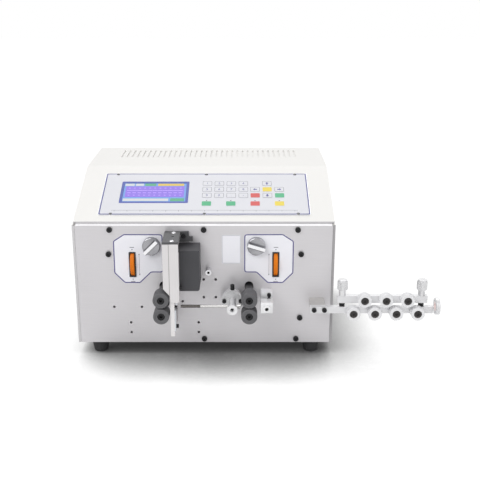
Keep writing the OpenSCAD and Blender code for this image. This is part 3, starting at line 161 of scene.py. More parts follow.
feed(tree, paper["Base Color"], seen_directly(tree, floor_grey))
floor_mesh.materials.append(floor_paper)

# Chassis pan and rear wall: bent zinc-plated sheet that carries everything else, and the power
# supply's case of the same sheet. Rolling leaves fine lines in it and the plating is a little mottled.
tone_span = (0.25, 0.75)
relief_depth = 0.00005


def effect_group(name, inputs, outputs=("Tone", "Height")):
    """An empty shader group with named inputs and outputs."""
    group = bpy.data.node_groups.new(name, "ShaderNodeTree")
    for title, (kind, value) in inputs.items():
        socket = group.interface.new_socket(title, in_out="INPUT", socket_type=kind)
        socket.default_value = value
    for title in outputs:
        group.interface.new_socket(title, in_out="OUTPUT", socket_type="NodeSocketFloat")
    place = group.nodes.new("ShaderNodeTexCoord").outputs["Object"]
    given = group.nodes.new("NodeGroupInput").outputs
    return group, place, given, group.nodes.new("NodeGroupOutput").inputs


def vector(tree, operation, *values):
    """The vector, or the length, that one operation on vectors gives."""
    node = tree.nodes.new("ShaderNodeVectorMath")
    node.operation = operation
    for socket, value in zip(node.inputs, values):
        feed(tree, socket, value)
    return node.outputs["Value" if operation == "LENGTH" else "Vector"]


def noise(tree, place, scale, detail):
    """Noise between 0 and 1, whose scale is a number or a socket."""
    node = tree.nodes.new("ShaderNodeTexNoise")
    node.inputs["Detail"].default_value = detail
    feed(tree, node.inputs["Scale"], scale)
    tree.links.new(place, node.inputs["Vector"])
    return node.outputs["Fac"]


def shared(tree, first, second, part):
    """Part of the first value and the rest of the second."""
    rest = calc(tree, "MULTIPLY", second, 1 - part)
    return calc(tree, "ADD", calc(tree, "MULTIPLY", first, part), rest)


brushed, place, given, result = effect_group(
    "brushed_lines",
    {"Stretch": ("NodeSocketVector", (60, 4000, 4000)), "Mottle": ("NodeSocketFloat", 14.0)},
)
lines = noise(brushed, vector(brushed, "MULTIPLY", place, given["Stretch"]), scale=1.0, detail=3.0)
mottle = noise(brushed, place, scale=given["Mottle"], detail=2.0)
feed(brushed, result["Tone"], shared(brushed, lines, mottle, part=0.5))
feed(brushed, result["Height"], lines)


def tinted(tree, factor, first, second):
    """A mix of two colours, each a triple or a socket."""
    node = tree.nodes.new("ShaderNodeMix")
    node.data_type = "RGBA"
    ends = [socket for socket in node.inputs if socket.type == "RGBA"]
    for socket, colour in zip(ends, (first, second)):
        feed(tree, socket, (*colour, 1) if isinstance(colour, tuple) else colour)
    tree.links.new(factor, node.inputs["Factor"])
    return next(socket for socket in node.outputs if socket.type == "RGBA")


def surface(name, group, dark, light, rough, bump, metallic=0.0, sheen=0.5, **settings):
    """A material whose colour, roughness and relief follow one effect group."""
    material = bpy.data.materials.new(name)
    material.use_nodes = True
    tree = material.node_tree
    shader = tree.nodes["Principled BSDF"].inputs
    shader["Metallic"].default_value = metallic
    shader["Specular IOR Level"].default_value = sheen
    effect = tree.nodes.new("ShaderNodeGroup")
    effect.node_tree = group
    for title, value in settings.items():
        effect.inputs[title].default_value = value
    tone = effect.outputs["Tone"]
    feed(tree, shader["Base Color"], tinted(tree, ranged(tree, tone, tone_span, (0, 1)), dark, light))
    feed(tree, shader["Roughness"], ranged(tree, tone, tone_span, rough))
    relief = tree.nodes.new("ShaderNodeBump")
    relief.inputs["Strength"].default_value = bump
    relief.inputs["Distance"].default_value = relief_depth
    feed(tree, relief.inputs["Height"], effect.outputs["Height"])
    feed(tree, shader["Normal"], relief.outputs["Normal"])
    return material


def away_from(tree, place, centre, plane):
    """The distance from a centre, counted only along the axes that plane keeps."""
    apart = vector(tree, "SUBTRACT", place, centre)
    return vector(tree, "LENGTH", vector(tree, "MULTIPLY", apart, plane))


core_mask, place, given, result = effect_group(
    "core_mask",
    {
        "Centre": ("NodeSocketVector", (0, 0, 0)),
        "Plane": ("NodeSocketVector", (1, 0, 1)),
        "Reach": ("NodeSocketFloat", 0.001),
    },
    ["Mask"],
)
apart = away_from(core_mask, place, given["Centre"], given["Plane"])
feed(core_mask, result["Mask"], calc(core_mask, "LESS_THAN", apart, given["Reach"]))


def core(material, centre, plane, reach, colour):
    """Give the part of a material within reach of a point, line or plane another colour."""
    tree = material.node_tree
    base = tree.nodes["Principled BSDF"].inputs["Base Color"]
    mask = tree.nodes.new("ShaderNodeGroup")
    mask.node_tree = core_mask
    mask.inputs["Centre"].default_value = centre
    mask.inputs["Plane"].default_value = plane
    mask.inputs["Reach"].default_value = reach / 1000
    feed(tree, base, tinted(tree, mask.outputs["Mask"], base.links[0].from_socket, colour))
    return material


def dress(material, *names):
    """Give CAD nodes a material in place of their plain one."""
    for name in names:
        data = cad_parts[name].data
        data.materials.clear()
        data.materials.append(material)


zinc = surface(
    "zinc_plate", brushed, dark=(0.50, 0.51, 0.53), light=(0.62, 0.63, 0.65), rough=(0.32, 0.46),
    bump=0.15, metallic=0.9, Stretch=(1500, 40, 40), Mottle=30.0,
)
dress(zinc, "chassis", "power_supply")

# Inside the case: black stepper motors on an alloy plate, the conduit's small motor and the green
# boards of the control electronics, all screwed down and hidden by the hood.
moulded, place, given, result = effect_group("moulded_grain", {"Scale": ("NodeSocketFloat", 900.0)})
grain = noise(moulded, place, scale=given["Scale"], detail=4.0)
patch = noise(moulded, place, scale=22.0, detail=2.0)
feed(moulded, result["Tone"], shared(moulded, grain, patch, part=0.35))
feed(moulded, result["Height"], grain)
motor_black = surface(
    "motor_black", moulded, dark=(0.02, 0.02, 0.022), light=(0.05, 0.05, 0.055), rough=(0.4, 0.55),
    bump=0.2, metallic=0.2, Scale=1200.0,
)
dress(motor_black, "stepper_motors", "swing_motor")
board_green = surface(
    "board_green", moulded, dark=(0.01, 0.12, 0.04), light=(0.02, 0.2, 0.07), rough=(0.3, 0.5),
    bump=0.3, Scale=300.0,
)
dress(board_green, "control_board", "blade_sensor")
motor_alloy = surface(
    "motor_alloy", brushed, dark=(0.62, 0.63, 0.65), light=(0.76, 0.77, 0.78), rough=(0.3, 0.45),
    bump=0.1, metallic=0.9, Stretch=(40, 40, 1800), Mottle=20.0,
)
dress(motor_alloy, "motor_plate")

# Rubber feet: moulded black rubber buffers, a little chalky,
# each screwed under a corner of the pan.
foot_rubber = surface(
    "foot_rubber", moulded, dark=(0.012, 0.012, 0.013), light=(0.035, 0.035, 0.037), rough=(0.6, 0.8),
    bump=0.35, Scale=700.0,
)
dress(foot_rubber, "rubber_feet")

# Front plate: thick steel plate, ground and brushed along its length, with a faint mauve cast. A painted
# highlight brightens its top edge, where it catches the light. Black socket screws hold it to the hood's
# lip and to the chassis posts; those that carry the straightener's rollers are rubbed a little paler.
plate_top = 213.0
plate_edge_highlight = 0.4
axle_mid = 275.0
axle_reach = 75.0


def blackened(name):
    """Steel with a black oxide finish."""
    return surface(
        name, moulded, dark=(0.010, 0.010, 0.011), light=(0.030, 0.030, 0.033), rough=(0.28, 0.45),
        bump=0.15, metallic=0.3, sheen=0.35, Scale=1500.0,
    )


front_steel = surface(
    "front_steel", brushed, dark=(0.60, 0.585, 0.60), light=(0.70, 0.685, 0.705), rough=(0.36, 0.50),
    bump=0.05, metallic=0.55, Stretch=(25, 25, 2200), Mottle=7.0,
)
# Painted highlight: the plate's top edge is coloured brighter, as if catching light.
core(front_steel, row(0, 0, plate_top), (0, 0, 1), plate_edge_highlight, (0.90, 0.89, 0.91))
dress(front_steel, "front_plate")
black_oxide = blackened("black_oxide")
dress(black_oxide, "roller_bearings", "left_carriage", "right_carriage")
screw_black = blackened("screw_black")
core(screw_black, row(axle_mid, 0, 0), (1, 0, 0), axle_reach, (0.045, 0.042, 0.042))
dress(screw_black, "cap_screws", "upper_axle_screws")

# Legend plates: two printed white films glued round the knobs and wheels, mirrored, each with a
# window for its wheel and a violet outline. Bars and small arrows by each wheel show how it presses.
legend_outline = [
    (61.3, 199.5), (120.4, 199.7), (137.4, 188.5), (137.6, 136.5),
    (121.7, 119.9), (97.6, 119.9), (80.2, 137.2), (61.3, 137.2),
]
legend_corner = 5
legend_shift = {"left": -1.3, "right": 0.0}
legend_film = (0.0, 0.15)
legend_ink = (0.15, 0.2)
legend_line = (0.2, 1.9)
wheel_at = (110, 150.5)
wheel_window = (8.8, 38.0, 1)
end_arrow = (2.2, 2.0)
end_tip = 25.5
end_bar = (7, 1, 0.4)
end_bar_gap = 2.2
travel_x = 99.5
travel_line = (0.4, 34, 0.1)
travel_arrow = (2.0, 2.5)
travel_tip = 18


def outline_of(width, height, radius, steps=5):
    """A rounded rectangle about the origin."""
    points = []
    for cx, cy, start in ((1, 1, 0), (-1, 1, 90), (-1, -1, 180), (1, -1, 270)):
        for i in range(steps + 1):
            a = math.radians(start + 90 * i / steps)
            points.append((cx * (width / 2 - radius) + radius * math.cos(a),
                           cy * (height / 2 - radius) + radius * math.sin(a)))
    return points


def shifted(outline, u, v):
    """An outline moved to another place."""
    return [(u + a, v + b) for a, b in outline]


def arrow_head(x, tip, up, size):
    """A triangle of a width and a length whose tip points up or down."""
    base = tip - up * size[1]
    return [(x - size[0] / 2, base), (x + size[0] / 2, base), (x, tip)]


def slab(mesh, outline, low, high, put):
    """A closed flat prism over an outline, from height low to high."""
    count = len(outline)
    bottom = [mesh.verts.new(put(u, v, low)) for u, v in outline]
    top = [mesh.verts.new(put(u, v, high)) for u, v in outline]
    mesh.faces.new(top)
    mesh.faces.new(list(reversed(bottom)))
    for i in range(count):
        j = (i + 1) % count
        mesh.faces.new((bottom[i], bottom[j], top[j], top[i]))


def band(mesh, outer, inner, low, high, put):
    """A closed flat ring between two outlines of as many points."""
    count = len(outer)
    rings = [[mesh.verts.new(put(u, v, h)) for u, v in points]
             for points, h in ((outer, low), (outer, high), (inner, high), (inner, low))]
    for k in range(4):
        first, second = rings[k], rings[(k + 1) % 4]
        for i in range(count):
            j = (i + 1) % count
            mesh.faces.new((first[i], first[j], second[j], second[i]))


def pierced(mesh, outline, hole, low, high, put):
    """A closed flat plate over an outline, with one hole through it."""
    loops = []
    for points in (outline, hole):
        loops.append([[mesh.verts.new(put(u, v, h)) for u, v in points] for h in (low, high)])
    for level in (0, 1):
        edges = []
        for loop in loops:
            ring = loop[level]
            edges += [mesh.edges.new((ring[i - 1], ring[i])) for i in range(len(ring))]
        bmesh.ops.triangle_fill(mesh, edges=edges, use_beauty=True)
    for bottom, top in loops:
        for i in range(len(bottom)):
            mesh.faces.new((bottom[i - 1], bottom[i], top[i], top[i - 1]))


def piece(name, mesh, material, body):
    """Close a built mesh into an object that rides on a body."""
    bmesh.ops.recalc_face_normals(mesh, faces=mesh.faces)
    data = bpy.data.meshes.new(name)
    mesh.to_mesh(data)
    mesh.free()
    data.materials.append(material)
    made = bpy.data.objects.new(name, data)
    scene.collection.objects.link(made)
    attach(made, body)
    return made


def on_plate(u, v, h):
    """x, z and height in front of the plate, in millimetres."""
    return row(u, -h, v)


def corners(outline):
    """Each point of an outline with the one before and the one after it."""
    count = len(outline)
    for i in range(count):
        yield tuple(Vector(outline[k % count]) for k in (i - 1, i, i + 1))


def inset(outline, distance, sharpest=0.3):
    """An outline moved inwards by a distance, held back at corners sharper than a cosine."""
    area = sum(here.cross(after) for before, here, after in corners(outline))
    turn = 1 if area > 0 else -1
    moved = []
    for before, here, after in corners(outline):
        a = (here - before).normalized()
        b = (after - here).normalized()
        na = Vector((-a.y, a.x)) * turn
        nb = Vector((-b.y, b.x)) * turn
        mean = (na + nb).normalized()
        moved.append(tuple(here + mean * distance / max(mean.dot(na), sharpest)))
    return moved


def soften(outline, radius, steps=4, share=0.4):
    """An outline whose corners are short curves that take up to a share of each side."""
    points = []
    for before, here, after in corners(outline):
        a = (before - here).normalized()
        b = (after - here).normalized()
        half = math.acos(max(-1, min(1, a.dot(b)))) / 2
        room = share * min((before - here).length, (after - here).length)
        reach = min(radius / math.tan(half), room)
        p, q = here + a * reach, here + b * reach
        for k in range(steps + 1):
            t = k / steps
            points.append(tuple((1 - t) ** 2 * p + 2 * t * (1 - t) * here + t * t * q))
    return points


legend_white = surface(
    "legend_white", moulded, dark=(0.87, 0.87, 0.925), light=(0.92, 0.92, 0.965), rough=(0.35, 0.5),
    bump=0.05, Scale=600.0,
)
legend_violet = surface(
    "legend_violet", moulded, dark=(0.07, 0.065, 0.20), light=(0.10, 0.09, 0.26), rough=(0.35, 0.5),
    bump=0.05, Scale=600.0,
)
print_grey = surface(
    "print_grey", moulded, dark=(0.12, 0.12, 0.15), light=(0.2, 0.2, 0.24), rough=(0.4, 0.5),
    bump=0.05, Scale=600.0,
)
for side, sign in (("left", -1), ("right", 1)):
    x, z = sign * wheel_at[0], wheel_at[1]
    edge = soften([(sign * u + legend_shift[side], v) for u, v in legend_outline], legend_corner)
    mesh = bmesh.new()
    pierced(mesh, edge, shifted(outline_of(*wheel_window), x, z), *legend_film, on_plate)
    piece(f"{side}_legend_plate", mesh, legend_white, "frame")
    mesh = bmesh.new()
    band(mesh, inset(edge, legend_line[0]), inset(edge, legend_line[1]), *legend_ink, on_plate)
    piece(f"{side}_legend_outline", mesh, legend_violet, "frame")
    mesh = bmesh.new()
    slab(mesh, shifted(outline_of(*travel_line), sign * travel_x, z), *legend_ink, on_plate)
    for up in (1, -1):
        bar = shifted(outline_of(*end_bar), x, z + up * (end_tip + end_bar_gap))
        slab(mesh, arrow_head(x, z + up * end_tip, up, end_arrow), *legend_ink, on_plate)
        slab(mesh, bar, *legend_ink, on_plate)
        slab(mesh, arrow_head(sign * travel_x, z + up * travel_tip, up, travel_arrow), *legend_ink, on_plate)
    piece(f"{side}_legend_marks", mesh, print_grey, "frame")

# Blank sticker: a plain white film glued to the plate, left unprinted apart from a thin grey rim
# just inside its edge.
sticker_mid = (41.7, 175.0)
sticker_film = (29, 46, 1.2)
sticker_rim = ((28, 45, 1), (27.2, 44.2, 0.8))
sticker_thick = 0.12
rim_thick = 0.03
mesh = bmesh.new()
slab(mesh, shifted(outline_of(*sticker_film), *sticker_mid), 0.0, sticker_thick, on_plate)
piece("blank_sticker", mesh, legend_white, "frame")
mesh = bmesh.new()
outer, inner = (shifted(outline_of(*size), *sticker_mid) for size in sticker_rim)
band(mesh, outer, inner, sticker_thick, sticker_thick + rim_thick, on_plate)
piece("blank_sticker_rim", mesh, print_grey, "frame")

# Hood: folded sheet steel with a cream powder coat, whose fine orange peel shows in the light. Painted
# shade darkens its lip above the plate and the hems beside it, the right hem more than the left. Bright
# dome screws hold its sides, duller ones hold the panel, and the bright post for a safety cover has its
# bore painted black as painted shade.
lip_at = (10.6, 214.2)
lip_shade_reach = 1.9
hem_x = 198.0
hem_shade_reach = 2.6
panel_screw_z = 245
panel_screw_reach = 27
post_at = (7, 142)
post_bore_shade = 2.0
cream = surface(
    "cream_powder_coat", moulded, dark=(0.885, 0.875, 0.85), light=(0.915, 0.905, 0.885),
    rough=(0.42, 0.55), bump=0.22, Scale=1300.0,
)
# Painted shade: the gap under the hood's lip and both hems are coloured darker, the right hem most.
core(cream, row(0, *lip_at), (0, 1, 1), lip_shade_reach, (0.52, 0.51, 0.52))
core(cream, row(-hem_x, 0, 0), (1, 1, 0), hem_shade_reach, (0.62, 0.61, 0.62))
core(cream, row(hem_x, 0, 0), (1, 1, 0), hem_shade_reach, (0.38, 0.37, 0.38))
dress(cream, "hood")
bright_zinc = surface(
    "bright_zinc", moulded, dark=(0.62, 0.62, 0.64), light=(0.78, 0.78, 0.8), rough=(0.2, 0.32),
    bump=0.08, metallic=1.0, Scale=900.0,
)
core(bright_zinc, row(0, 0, panel_screw_z), (0, 0, 1), panel_screw_reach, (0.16, 0.16, 0.17))
# Painted shade: the post's bore is coloured black.
core(bright_zinc, row(post_at[0], 0, post_at[1]), (1, 0, 1), post_bore_shade, (0.01, 0.01, 0.01))
dress(bright_zinc, "case_screws")

# Vent tray: a shallow tray of the same powder-coated sheet under the slots, so that they show pale from
# above: painted light where the case's dark inside would show. Its rim is spot-welded to the inside of the
# hood.
pale_tray_size = (322.0, 66.0)
pale_tray_mid = (0.0, 256.0)
pale_tray_corner = 3
pale_tray_rim = 1
pale_tray_floor = (265.9, 266.7)
hood_inside = 266.9


def level_with(u, v, h):
    """x, y and height above the bench, in millimetres."""
    return row(pale_tray_mid[0] + u, pale_tray_mid[1] + v, h)


tray = outline_of(*pale_tray_size, pale_tray_corner)
well = outline_of(*(size - 2 * pale_tray_rim for size in pale_tray_size), pale_tray_corner - pale_tray_rim)
mesh = bmesh.new()
slab(mesh, tray, *pale_tray_floor, level_with)
band(mesh, tray, well, pale_tray_floor[1], hood_inside, level_with)
# Painted light: this pale tray makes the slots show pale in place of the dark inside.
piece("vent_pale_tray", mesh, cream, "frame")

# Control panel: an alloy carrier screwed to the console with a printed film over it. The film is one
# piece with raised keys; outlines, figures and the coloured keys are printed on top.
console_front = (11.0, 215.5)
console_back = (158.0, 268.5)
console_angle = math.atan2(console_back[1] - console_front[1], console_back[0] - console_front[0])
film_top = 1.6
key_top = 2.1
ink = 0.05
panel_size = (329.0, 115.5)
panel_mid = 73.95
panel_line = ((1.8, 2.6), (5.6, 1.6))
key_size = (15.2, 12.4)
key_pitch = (19.35, 16.9)
key_fill = (0.6, 1.4)
key_line = ((0.4, 1.4), (1.4, 1.0))
first_key = (2.4, 101.5)
arrow_mid = 98.6
arrow = [(3.4, 0), (0.2, 3.0), (0.2, 1.2), (-3.2, 1.2), (-3.2, -1.2), (0.2, -1.2), (0.2, -3.0)]
arrow_turns = {"up": 90, "left": 180, "right": 0, "down": 270}
start_row = 45.4
start_pitch = 38.2
start_lamp = (2.2, 2.2, 0.9)
start_lamp_up = 8.6
rule_at = 28.0
rule_line = (290, 0.5, 0.2)
tick_line = (0.5, 3, 0.2)
tick_drop = 1.9
tick_first = -140
tick_pitch = 20
tick_count = 15
figures = "1234567890.-"
figure_size = 7.0
figure_half = 0.025
figure_lift = 0.03
film_inks = {
    "white": ((0.73, 0.735, 0.785), (0.78, 0.785, 0.825)),
    "green": ((0.06, 0.42, 0.20), (0.09, 0.50, 0.26)),
    "red": ((0.62, 0.07, 0.07), (0.72, 0.11, 0.10)),
    "yellow": ((0.80, 0.62, 0.05), (0.88, 0.72, 0.10)),
    "blue": ((0.06, 0.065, 0.24), (0.085, 0.09, 0.30)),
}


def on_console(u, v, h):
    """Across, up the slope and out of the console, in millimetres."""
    c, s = math.cos(console_angle), math.sin(console_angle)
    return row(u, console_front[0] + v * c - h * s, console_front[1] + v * s + h * c)


def on_key(column, line, first=first_key[0]):
    """The middle of the key in a column and a line of the keypad."""
    return first + column * key_pitch[0], first_key[1] - line * key_pitch[1]


def trimmed(size, less, radius):
    """A rounded rectangle smaller than a size by so much."""
    return outline_of(size[0] - less, size[1] - less, radius)


panel_alloy = surface(
    "panel_alloy", brushed, dark=(0.66, 0.67, 0.68), light=(0.78, 0.79, 0.8), rough=(0.3, 0.4),
    bump=0.08, metallic=0.9, Stretch=(40, 1800, 1800), Mottle=20.0,
)
dress(panel_alloy, "control_panel")
film = {
    name: surface(f"film_{name}", moulded, dark, light, rough=(0.38, 0.5), bump=0.06, Scale=800.0)
    for name, (dark, light) in film_inks.items()
}
dress(film["white"], "keypad_overlay")
digit_keys = [on_key(column, line) for line in range(3) for column in range(4)]
cross = {
    "up": (0, 0), "left": (-1, 1), "set": (0, 1), "right": (1, 1),
    "stop": (-1, 2), "down": (0, 2), "go": (1, 2),
}
cross_keys = {name: on_key(*spot, first=arrow_mid) for name, spot in cross.items()}
start_keys = [(first_key[0] + column * start_pitch, start_row) for column in range(4)]
coloured = {
    "green": [cross_keys["go"], start_keys[0], start_keys[1]],
    "red": [cross_keys["stop"], start_keys[2]],
    "yellow": [cross_keys["set"], start_keys[3]],
}
for name, keys in coloured.items():
    mesh = bmesh.new()
    for spot in keys:
        slab(mesh, shifted(trimmed(key_size, *key_fill), *spot), key_top, key_top + ink, on_console)
    piece(f"{name}_keys", mesh, film[name], "frame")
mesh = bmesh.new()
for spot in digit_keys + [cross_keys[name] for name in arrow_turns]:
    outer, inner = (shifted(trimmed(key_size, *line), *spot) for line in key_line)
    band(mesh, outer, inner, key_top, key_top + ink, on_console)
for u, v in start_keys:
    slab(mesh, shifted(outline_of(*start_lamp), u, v + start_lamp_up), film_top, film_top + ink, on_console)
piece("key_outlines", mesh, print_grey, "frame")
mesh = bmesh.new()
for name, degrees in arrow_turns.items():
    c, s = math.cos(math.radians(degrees)), math.sin(math.radians(degrees))
    turned_arrow = [(x * c - y * s, x * s + y * c) for x, y in arrow]
    slab(mesh, shifted(turned_arrow, *cross_keys[name]), key_top, key_top + ink, on_console)
outer, inner = (shifted(trimmed(panel_size, *line), 0, panel_mid) for line in panel_line)
band(mesh, outer, inner, film_top, film_top + ink, on_console)
piece("film_outline", mesh, film["blue"], "frame")
mesh = bmesh.new()
slab(mesh, shifted(outline_of(*rule_line), 0, rule_at), film_top, film_top + ink, on_console)
for k in range(tick_count):
    tick = shifted(outline_of(*tick_line), tick_first + tick_pitch * k, rule_at - tick_drop)
    slab(mesh, tick, film_top, film_top + ink, on_console)
piece("film_rule", mesh, print_grey, "frame")
mesh = bmesh.new()
for figure, (u, v) in zip(figures, digit_keys):
    curve = bpy.data.curves.new("figure", "FONT")
    curve.body = figure
    curve.size = figure_size
    curve.align_x = "CENTER"
    curve.align_y = "CENTER"
    curve.resolution_u = 2
    curve.extrude = figure_half
    holder = bpy.data.objects.new("figure", curve)
    scene.collection.objects.link(holder)
    flat = bpy.data.meshes.new_from_object(holder.evaluated_get(bpy.context.evaluated_depsgraph_get()))
    for vertex in flat.vertices:
        vertex.co = on_console(u + vertex.co.x, v + vertex.co.y, key_top + figure_lift + vertex.co.z)
    mesh.from_mesh(flat)
    bpy.data.objects.remove(holder)
    bpy.data.meshes.remove(flat)
data = bpy.data.meshes.new("key_figures")
mesh.to_mesh(data)
mesh.free()
data.materials.append(film["blue"])
key_figures = bpy.data.objects.new("key_figures", data)
scene.collection.objects.link(key_figures)
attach(key_figures, "frame")

# Display: a colour screen in a violet-blue frame, seated in the panel's window. The lit picture
# is plain: tabs above, a violet field with rows of short dashes, a bar and a button below.
display_mid = (-81.2, 77.4)
screen_h = 1.02
ground_top = screen_h + 0.05
tile_top = screen_h + 0.13
dash_top = screen_h + 0.18
tile_corner = 0.5
screen_parts = {
    "screen_field": ((0.21, 0.125, 0.64), 0.27, [(0, 2, 94, 30)]),
    "screen_ground": ((0.13, 0.29, 0.66), 0.2, [(0, 0, 100, 51.6)]),
    "screen_white_tabs": (
        (0.55, 0.59, 0.60), 0.2,
        [(-41.5, 21.5, 15, 6.5), (-25.5, 21.5, 13, 6.5), (-13, -20.5, 72, 7)],
    ),
    "screen_green_tab": ((0.06, 0.34, 0.17), 0.2, [(-8, 21.5, 18, 6.5), (37, -20.5, 22, 8)]),
    "screen_yellow_tab": ((0.60, 0.43, 0.07), 0.25, [(25, 21.5, 42, 6.5)]),
}
dash_first = (-41, 12)
dash_pitch = (8.2, 6.6)
dash_count = 11
dash_widths = (3.0, 7.8, 5.4, 3.0)
dash_height = 1.4
dash_corner = 0.3


def lit(name, colour, strength):
    """A glossy surface that glows in its own colour, with a faint fine grain."""
    material = surface(
        name, moulded, dark=tuple(c * 0.9 for c in colour), light=colour, rough=(0.15, 0.25),
        bump=0.02, sheen=0.4, Scale=2000.0,
    )
    shader = material.node_tree.nodes["Principled BSDF"].inputs
    shader["Emission Color"].default_value = (*colour, 1)
    shader["Emission Strength"].default_value = strength
    return material


display_blue = surface(
    "display_blue", moulded, dark=(0.07, 0.10, 0.40), light=(0.10, 0.14, 0.48), rough=(0.25, 0.35),
    bump=0.05, sheen=0.3, Scale=700.0,
)
dress(display_blue, "display_module")
for name, (colour, strength, tiles) in screen_parts.items():
    mesh = bmesh.new()
    top = ground_top if name == "screen_ground" else tile_top
    for u, v, w, h in tiles:
        tile = shifted(outline_of(w, h, tile_corner, steps=2), display_mid[0] + u, display_mid[1] + v)
        slab(mesh, tile, screen_h, top, on_console)
    piece(name, mesh, lit(name, colour, strength), "frame")
mesh = bmesh.new()
for line, width in enumerate(dash_widths):
    dash = outline_of(width, dash_height, dash_corner, steps=2)
    for k in range(dash_count):
        u = display_mid[0] + dash_first[0] + dash_pitch[0] * k
        v = display_mid[1] + dash_first[1] - dash_pitch[1] * line
        slab(mesh, shifted(dash, u, v), tile_top, dash_top, on_console)
piece("screen_dashes", mesh, lit("screen_dash", (0.46, 0.30, 0.86), 0.25), "frame")

# Pressure wheels: orange moulded wheels with a ribbed rim that turn in black moulded frames set in
# windows of the plate. The power inlet and its rocker are of the same black plastic.
wheel_radius = 24.0
wheel_depth = 17.0
wheel_ribs = 72
wheel_rib = (0.8, 4.6, 0.8)
wheel_rib_sunk = 0.1
wheel_orange = surface(
    "wheel_orange", moulded, dark=(0.74, 0.17, 0.004), light=(0.88, 0.25, 0.008), rough=(0.4, 0.5),
    bump=0.1, sheen=0.25, Scale=700.0,
)
dress(wheel_orange, "left_pressure_wheel", "right_pressure_wheel")
frame_black = surface(
    "frame_black", moulded, dark=(0.010, 0.010, 0.011), light=(0.028, 0.028, 0.03), rough=(0.4, 0.55),
    bump=0.25, Scale=900.0,
)
dress(frame_black, "wheel_housings", "power_inlet", "power_rocker")


def shape_tree(name, inputs):
    """A geometry tree with named inputs for its sizes and its finish, and one output."""
    tree = bpy.data.node_groups.new(name, "GeometryNodeTree")
    tree.interface.new_socket("Geometry", in_out="OUTPUT", socket_type="NodeSocketGeometry")
    for title, kind in inputs.items():
        tree.interface.new_socket(title, in_out="INPUT", socket_type=kind)
    tree.interface.new_socket("Finish", in_out="INPUT", socket_type="NodeSocketMaterial")
    return tree, tree.nodes.new("NodeGroupInput").outputs


def grow(tree, kind, inputs, output):
    """The output of a new geometry node whose inputs are values or sockets."""
    node = tree.nodes.new(kind)
    for title, value in inputs.items():
        feed(tree, node.inputs[title], value)
    return node.outputs[output]


def close_tree(tree, given, geometry):
    """Make a tree's instances real, give them the finish and hand them out."""
    solid = grow(tree, "GeometryNodeRealizeInstances", {"Geometry": geometry}, "Geometry")
    coated = {"Geometry": solid, "Material": given["Finish"]}
    solid = grow(tree, "GeometryNodeSetMaterial", coated, "Geometry")
    tree.links.new(solid, tree.nodes.new("NodeGroupOutput").inputs["Geometry"])


def grown(name, tree, values, turn):
    """The plain mesh that a geometry tree makes, turned to its place in the frame."""
    holder = bpy.data.objects.new(name, bpy.data.meshes.new(name + "_seed"))
    scene.collection.objects.link(holder)
    modifier = holder.modifiers.new("shape", "NODES")
    modifier.node_group = tree
    for item in tree.interface.items_tree:
        if item.in_out == "INPUT" and item.name in values:
            modifier[item.identifier] = values[item.name]
    depsgraph = bpy.context.evaluated_depsgraph_get()
    data = bpy.data.meshes.new_from_object(holder.evaluated_get(depsgraph))
    holder.modifiers.remove(modifier)
    data.transform(turn)
    data.name = name
    holder.data = data
    return holder


rib_ring, given = shape_tree(
    "rib_ring", {"Count": "NodeSocketInt", "Radius": "NodeSocketFloat", "Rib": "NodeSocketVector"}
)
circle = grow(rib_ring, "GeometryNodeCurvePrimitiveCircle", {"Radius": given["Radius"]}, "Curve")
spots = rib_ring.nodes.new("GeometryNodeCurveToPoints")
feed(rib_ring, spots.inputs["Curve"], circle)
feed(rib_ring, spots.inputs["Count"], given["Count"])
ribs = {
    "Points": spots.outputs["Points"],
    "Rotation": spots.outputs["Rotation"],
    "Instance": grow(rib_ring, "GeometryNodeMeshCube", {"Size": given["Rib"]}, "Mesh"),
}
close_tree(rib_ring, given, grow(rib_ring, "GeometryNodeInstanceOnPoints", ribs, "Instances"))


def ribbed(name, count, radius, rib, finish, centre, axis):
    """A ring of ribs about a centre, turned from upright by a quarter about an axis."""
    values = {"Count": count, "Radius": radius / 1000, "Rib": [s / 1000 for s in rib], "Finish": finish}
    turn = Matrix.Translation(centre) @ Matrix.Rotation(math.radians(90), 4, axis)
    return grown(name, rib_ring, values, turn)


for side, sign in (("left", -1), ("right", 1)):
    centre = row(sign * wheel_at[0], wheel_depth, wheel_at[1])
    rim = wheel_radius - wheel_rib_sunk
    ribs = ribbed(f"{side}_wheel_ribs", wheel_ribs, rim, wheel_rib, wheel_orange, centre, "Y")
    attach(ribs, f"{side}_wheel")

# Gap knobs: turned and chromed, each on its cam's spindle, with a raised bar grip whose front face has
# a painted highlight, a bright reflection coloured into it. Their polish shows faint turning rings.
knob_at = (80, 181)
knob_out = 14.0
grip_glint_reach = 1.1
turned, place, given, result = effect_group(
    "turned_rings",
    {
        "Centre": ("NodeSocketVector", (0, 0, 0)),
        "Plane": ("NodeSocketVector", (1, 0, 1)),
        "Pitch": ("NodeSocketFloat", 0.0006),
    },
)
turns = calc(turned, "DIVIDE", away_from(turned, place, given["Centre"], given["Plane"]), given["Pitch"])
waves = calc(turned, "SINE", calc(turned, "MULTIPLY", turns, 2 * math.pi))
rings = calc(turned, "ADD", calc(turned, "MULTIPLY", waves, 0.25), 0.5)
cloud = noise(turned, place, scale=60.0, detail=3.0)
feed(turned, result["Tone"], shared(turned, rings, cloud, part=0.4))
feed(turned, result["Height"], rings)
for side, sign in (("left", -1), ("right", 1)):
    chrome = surface(
        f"{side}_knob_chrome", turned, dark=(0.20, 0.20, 0.215), light=(0.46, 0.46, 0.48),
        rough=(0.12, 0.24), bump=0.06, metallic=1.0,
        Centre=row(sign * knob_at[0], 0, knob_at[1]), Plane=(1, 0, 1), Pitch=0.0009,
    )
    # Painted highlight: the bar's front face is coloured near white, as a bright reflection.
    core(chrome, row(0, -knob_out, 0), (0, 1, 0), grip_glint_reach, (0.86, 0.86, 0.88))
    dress(chrome, f"{side}_gap_knob")
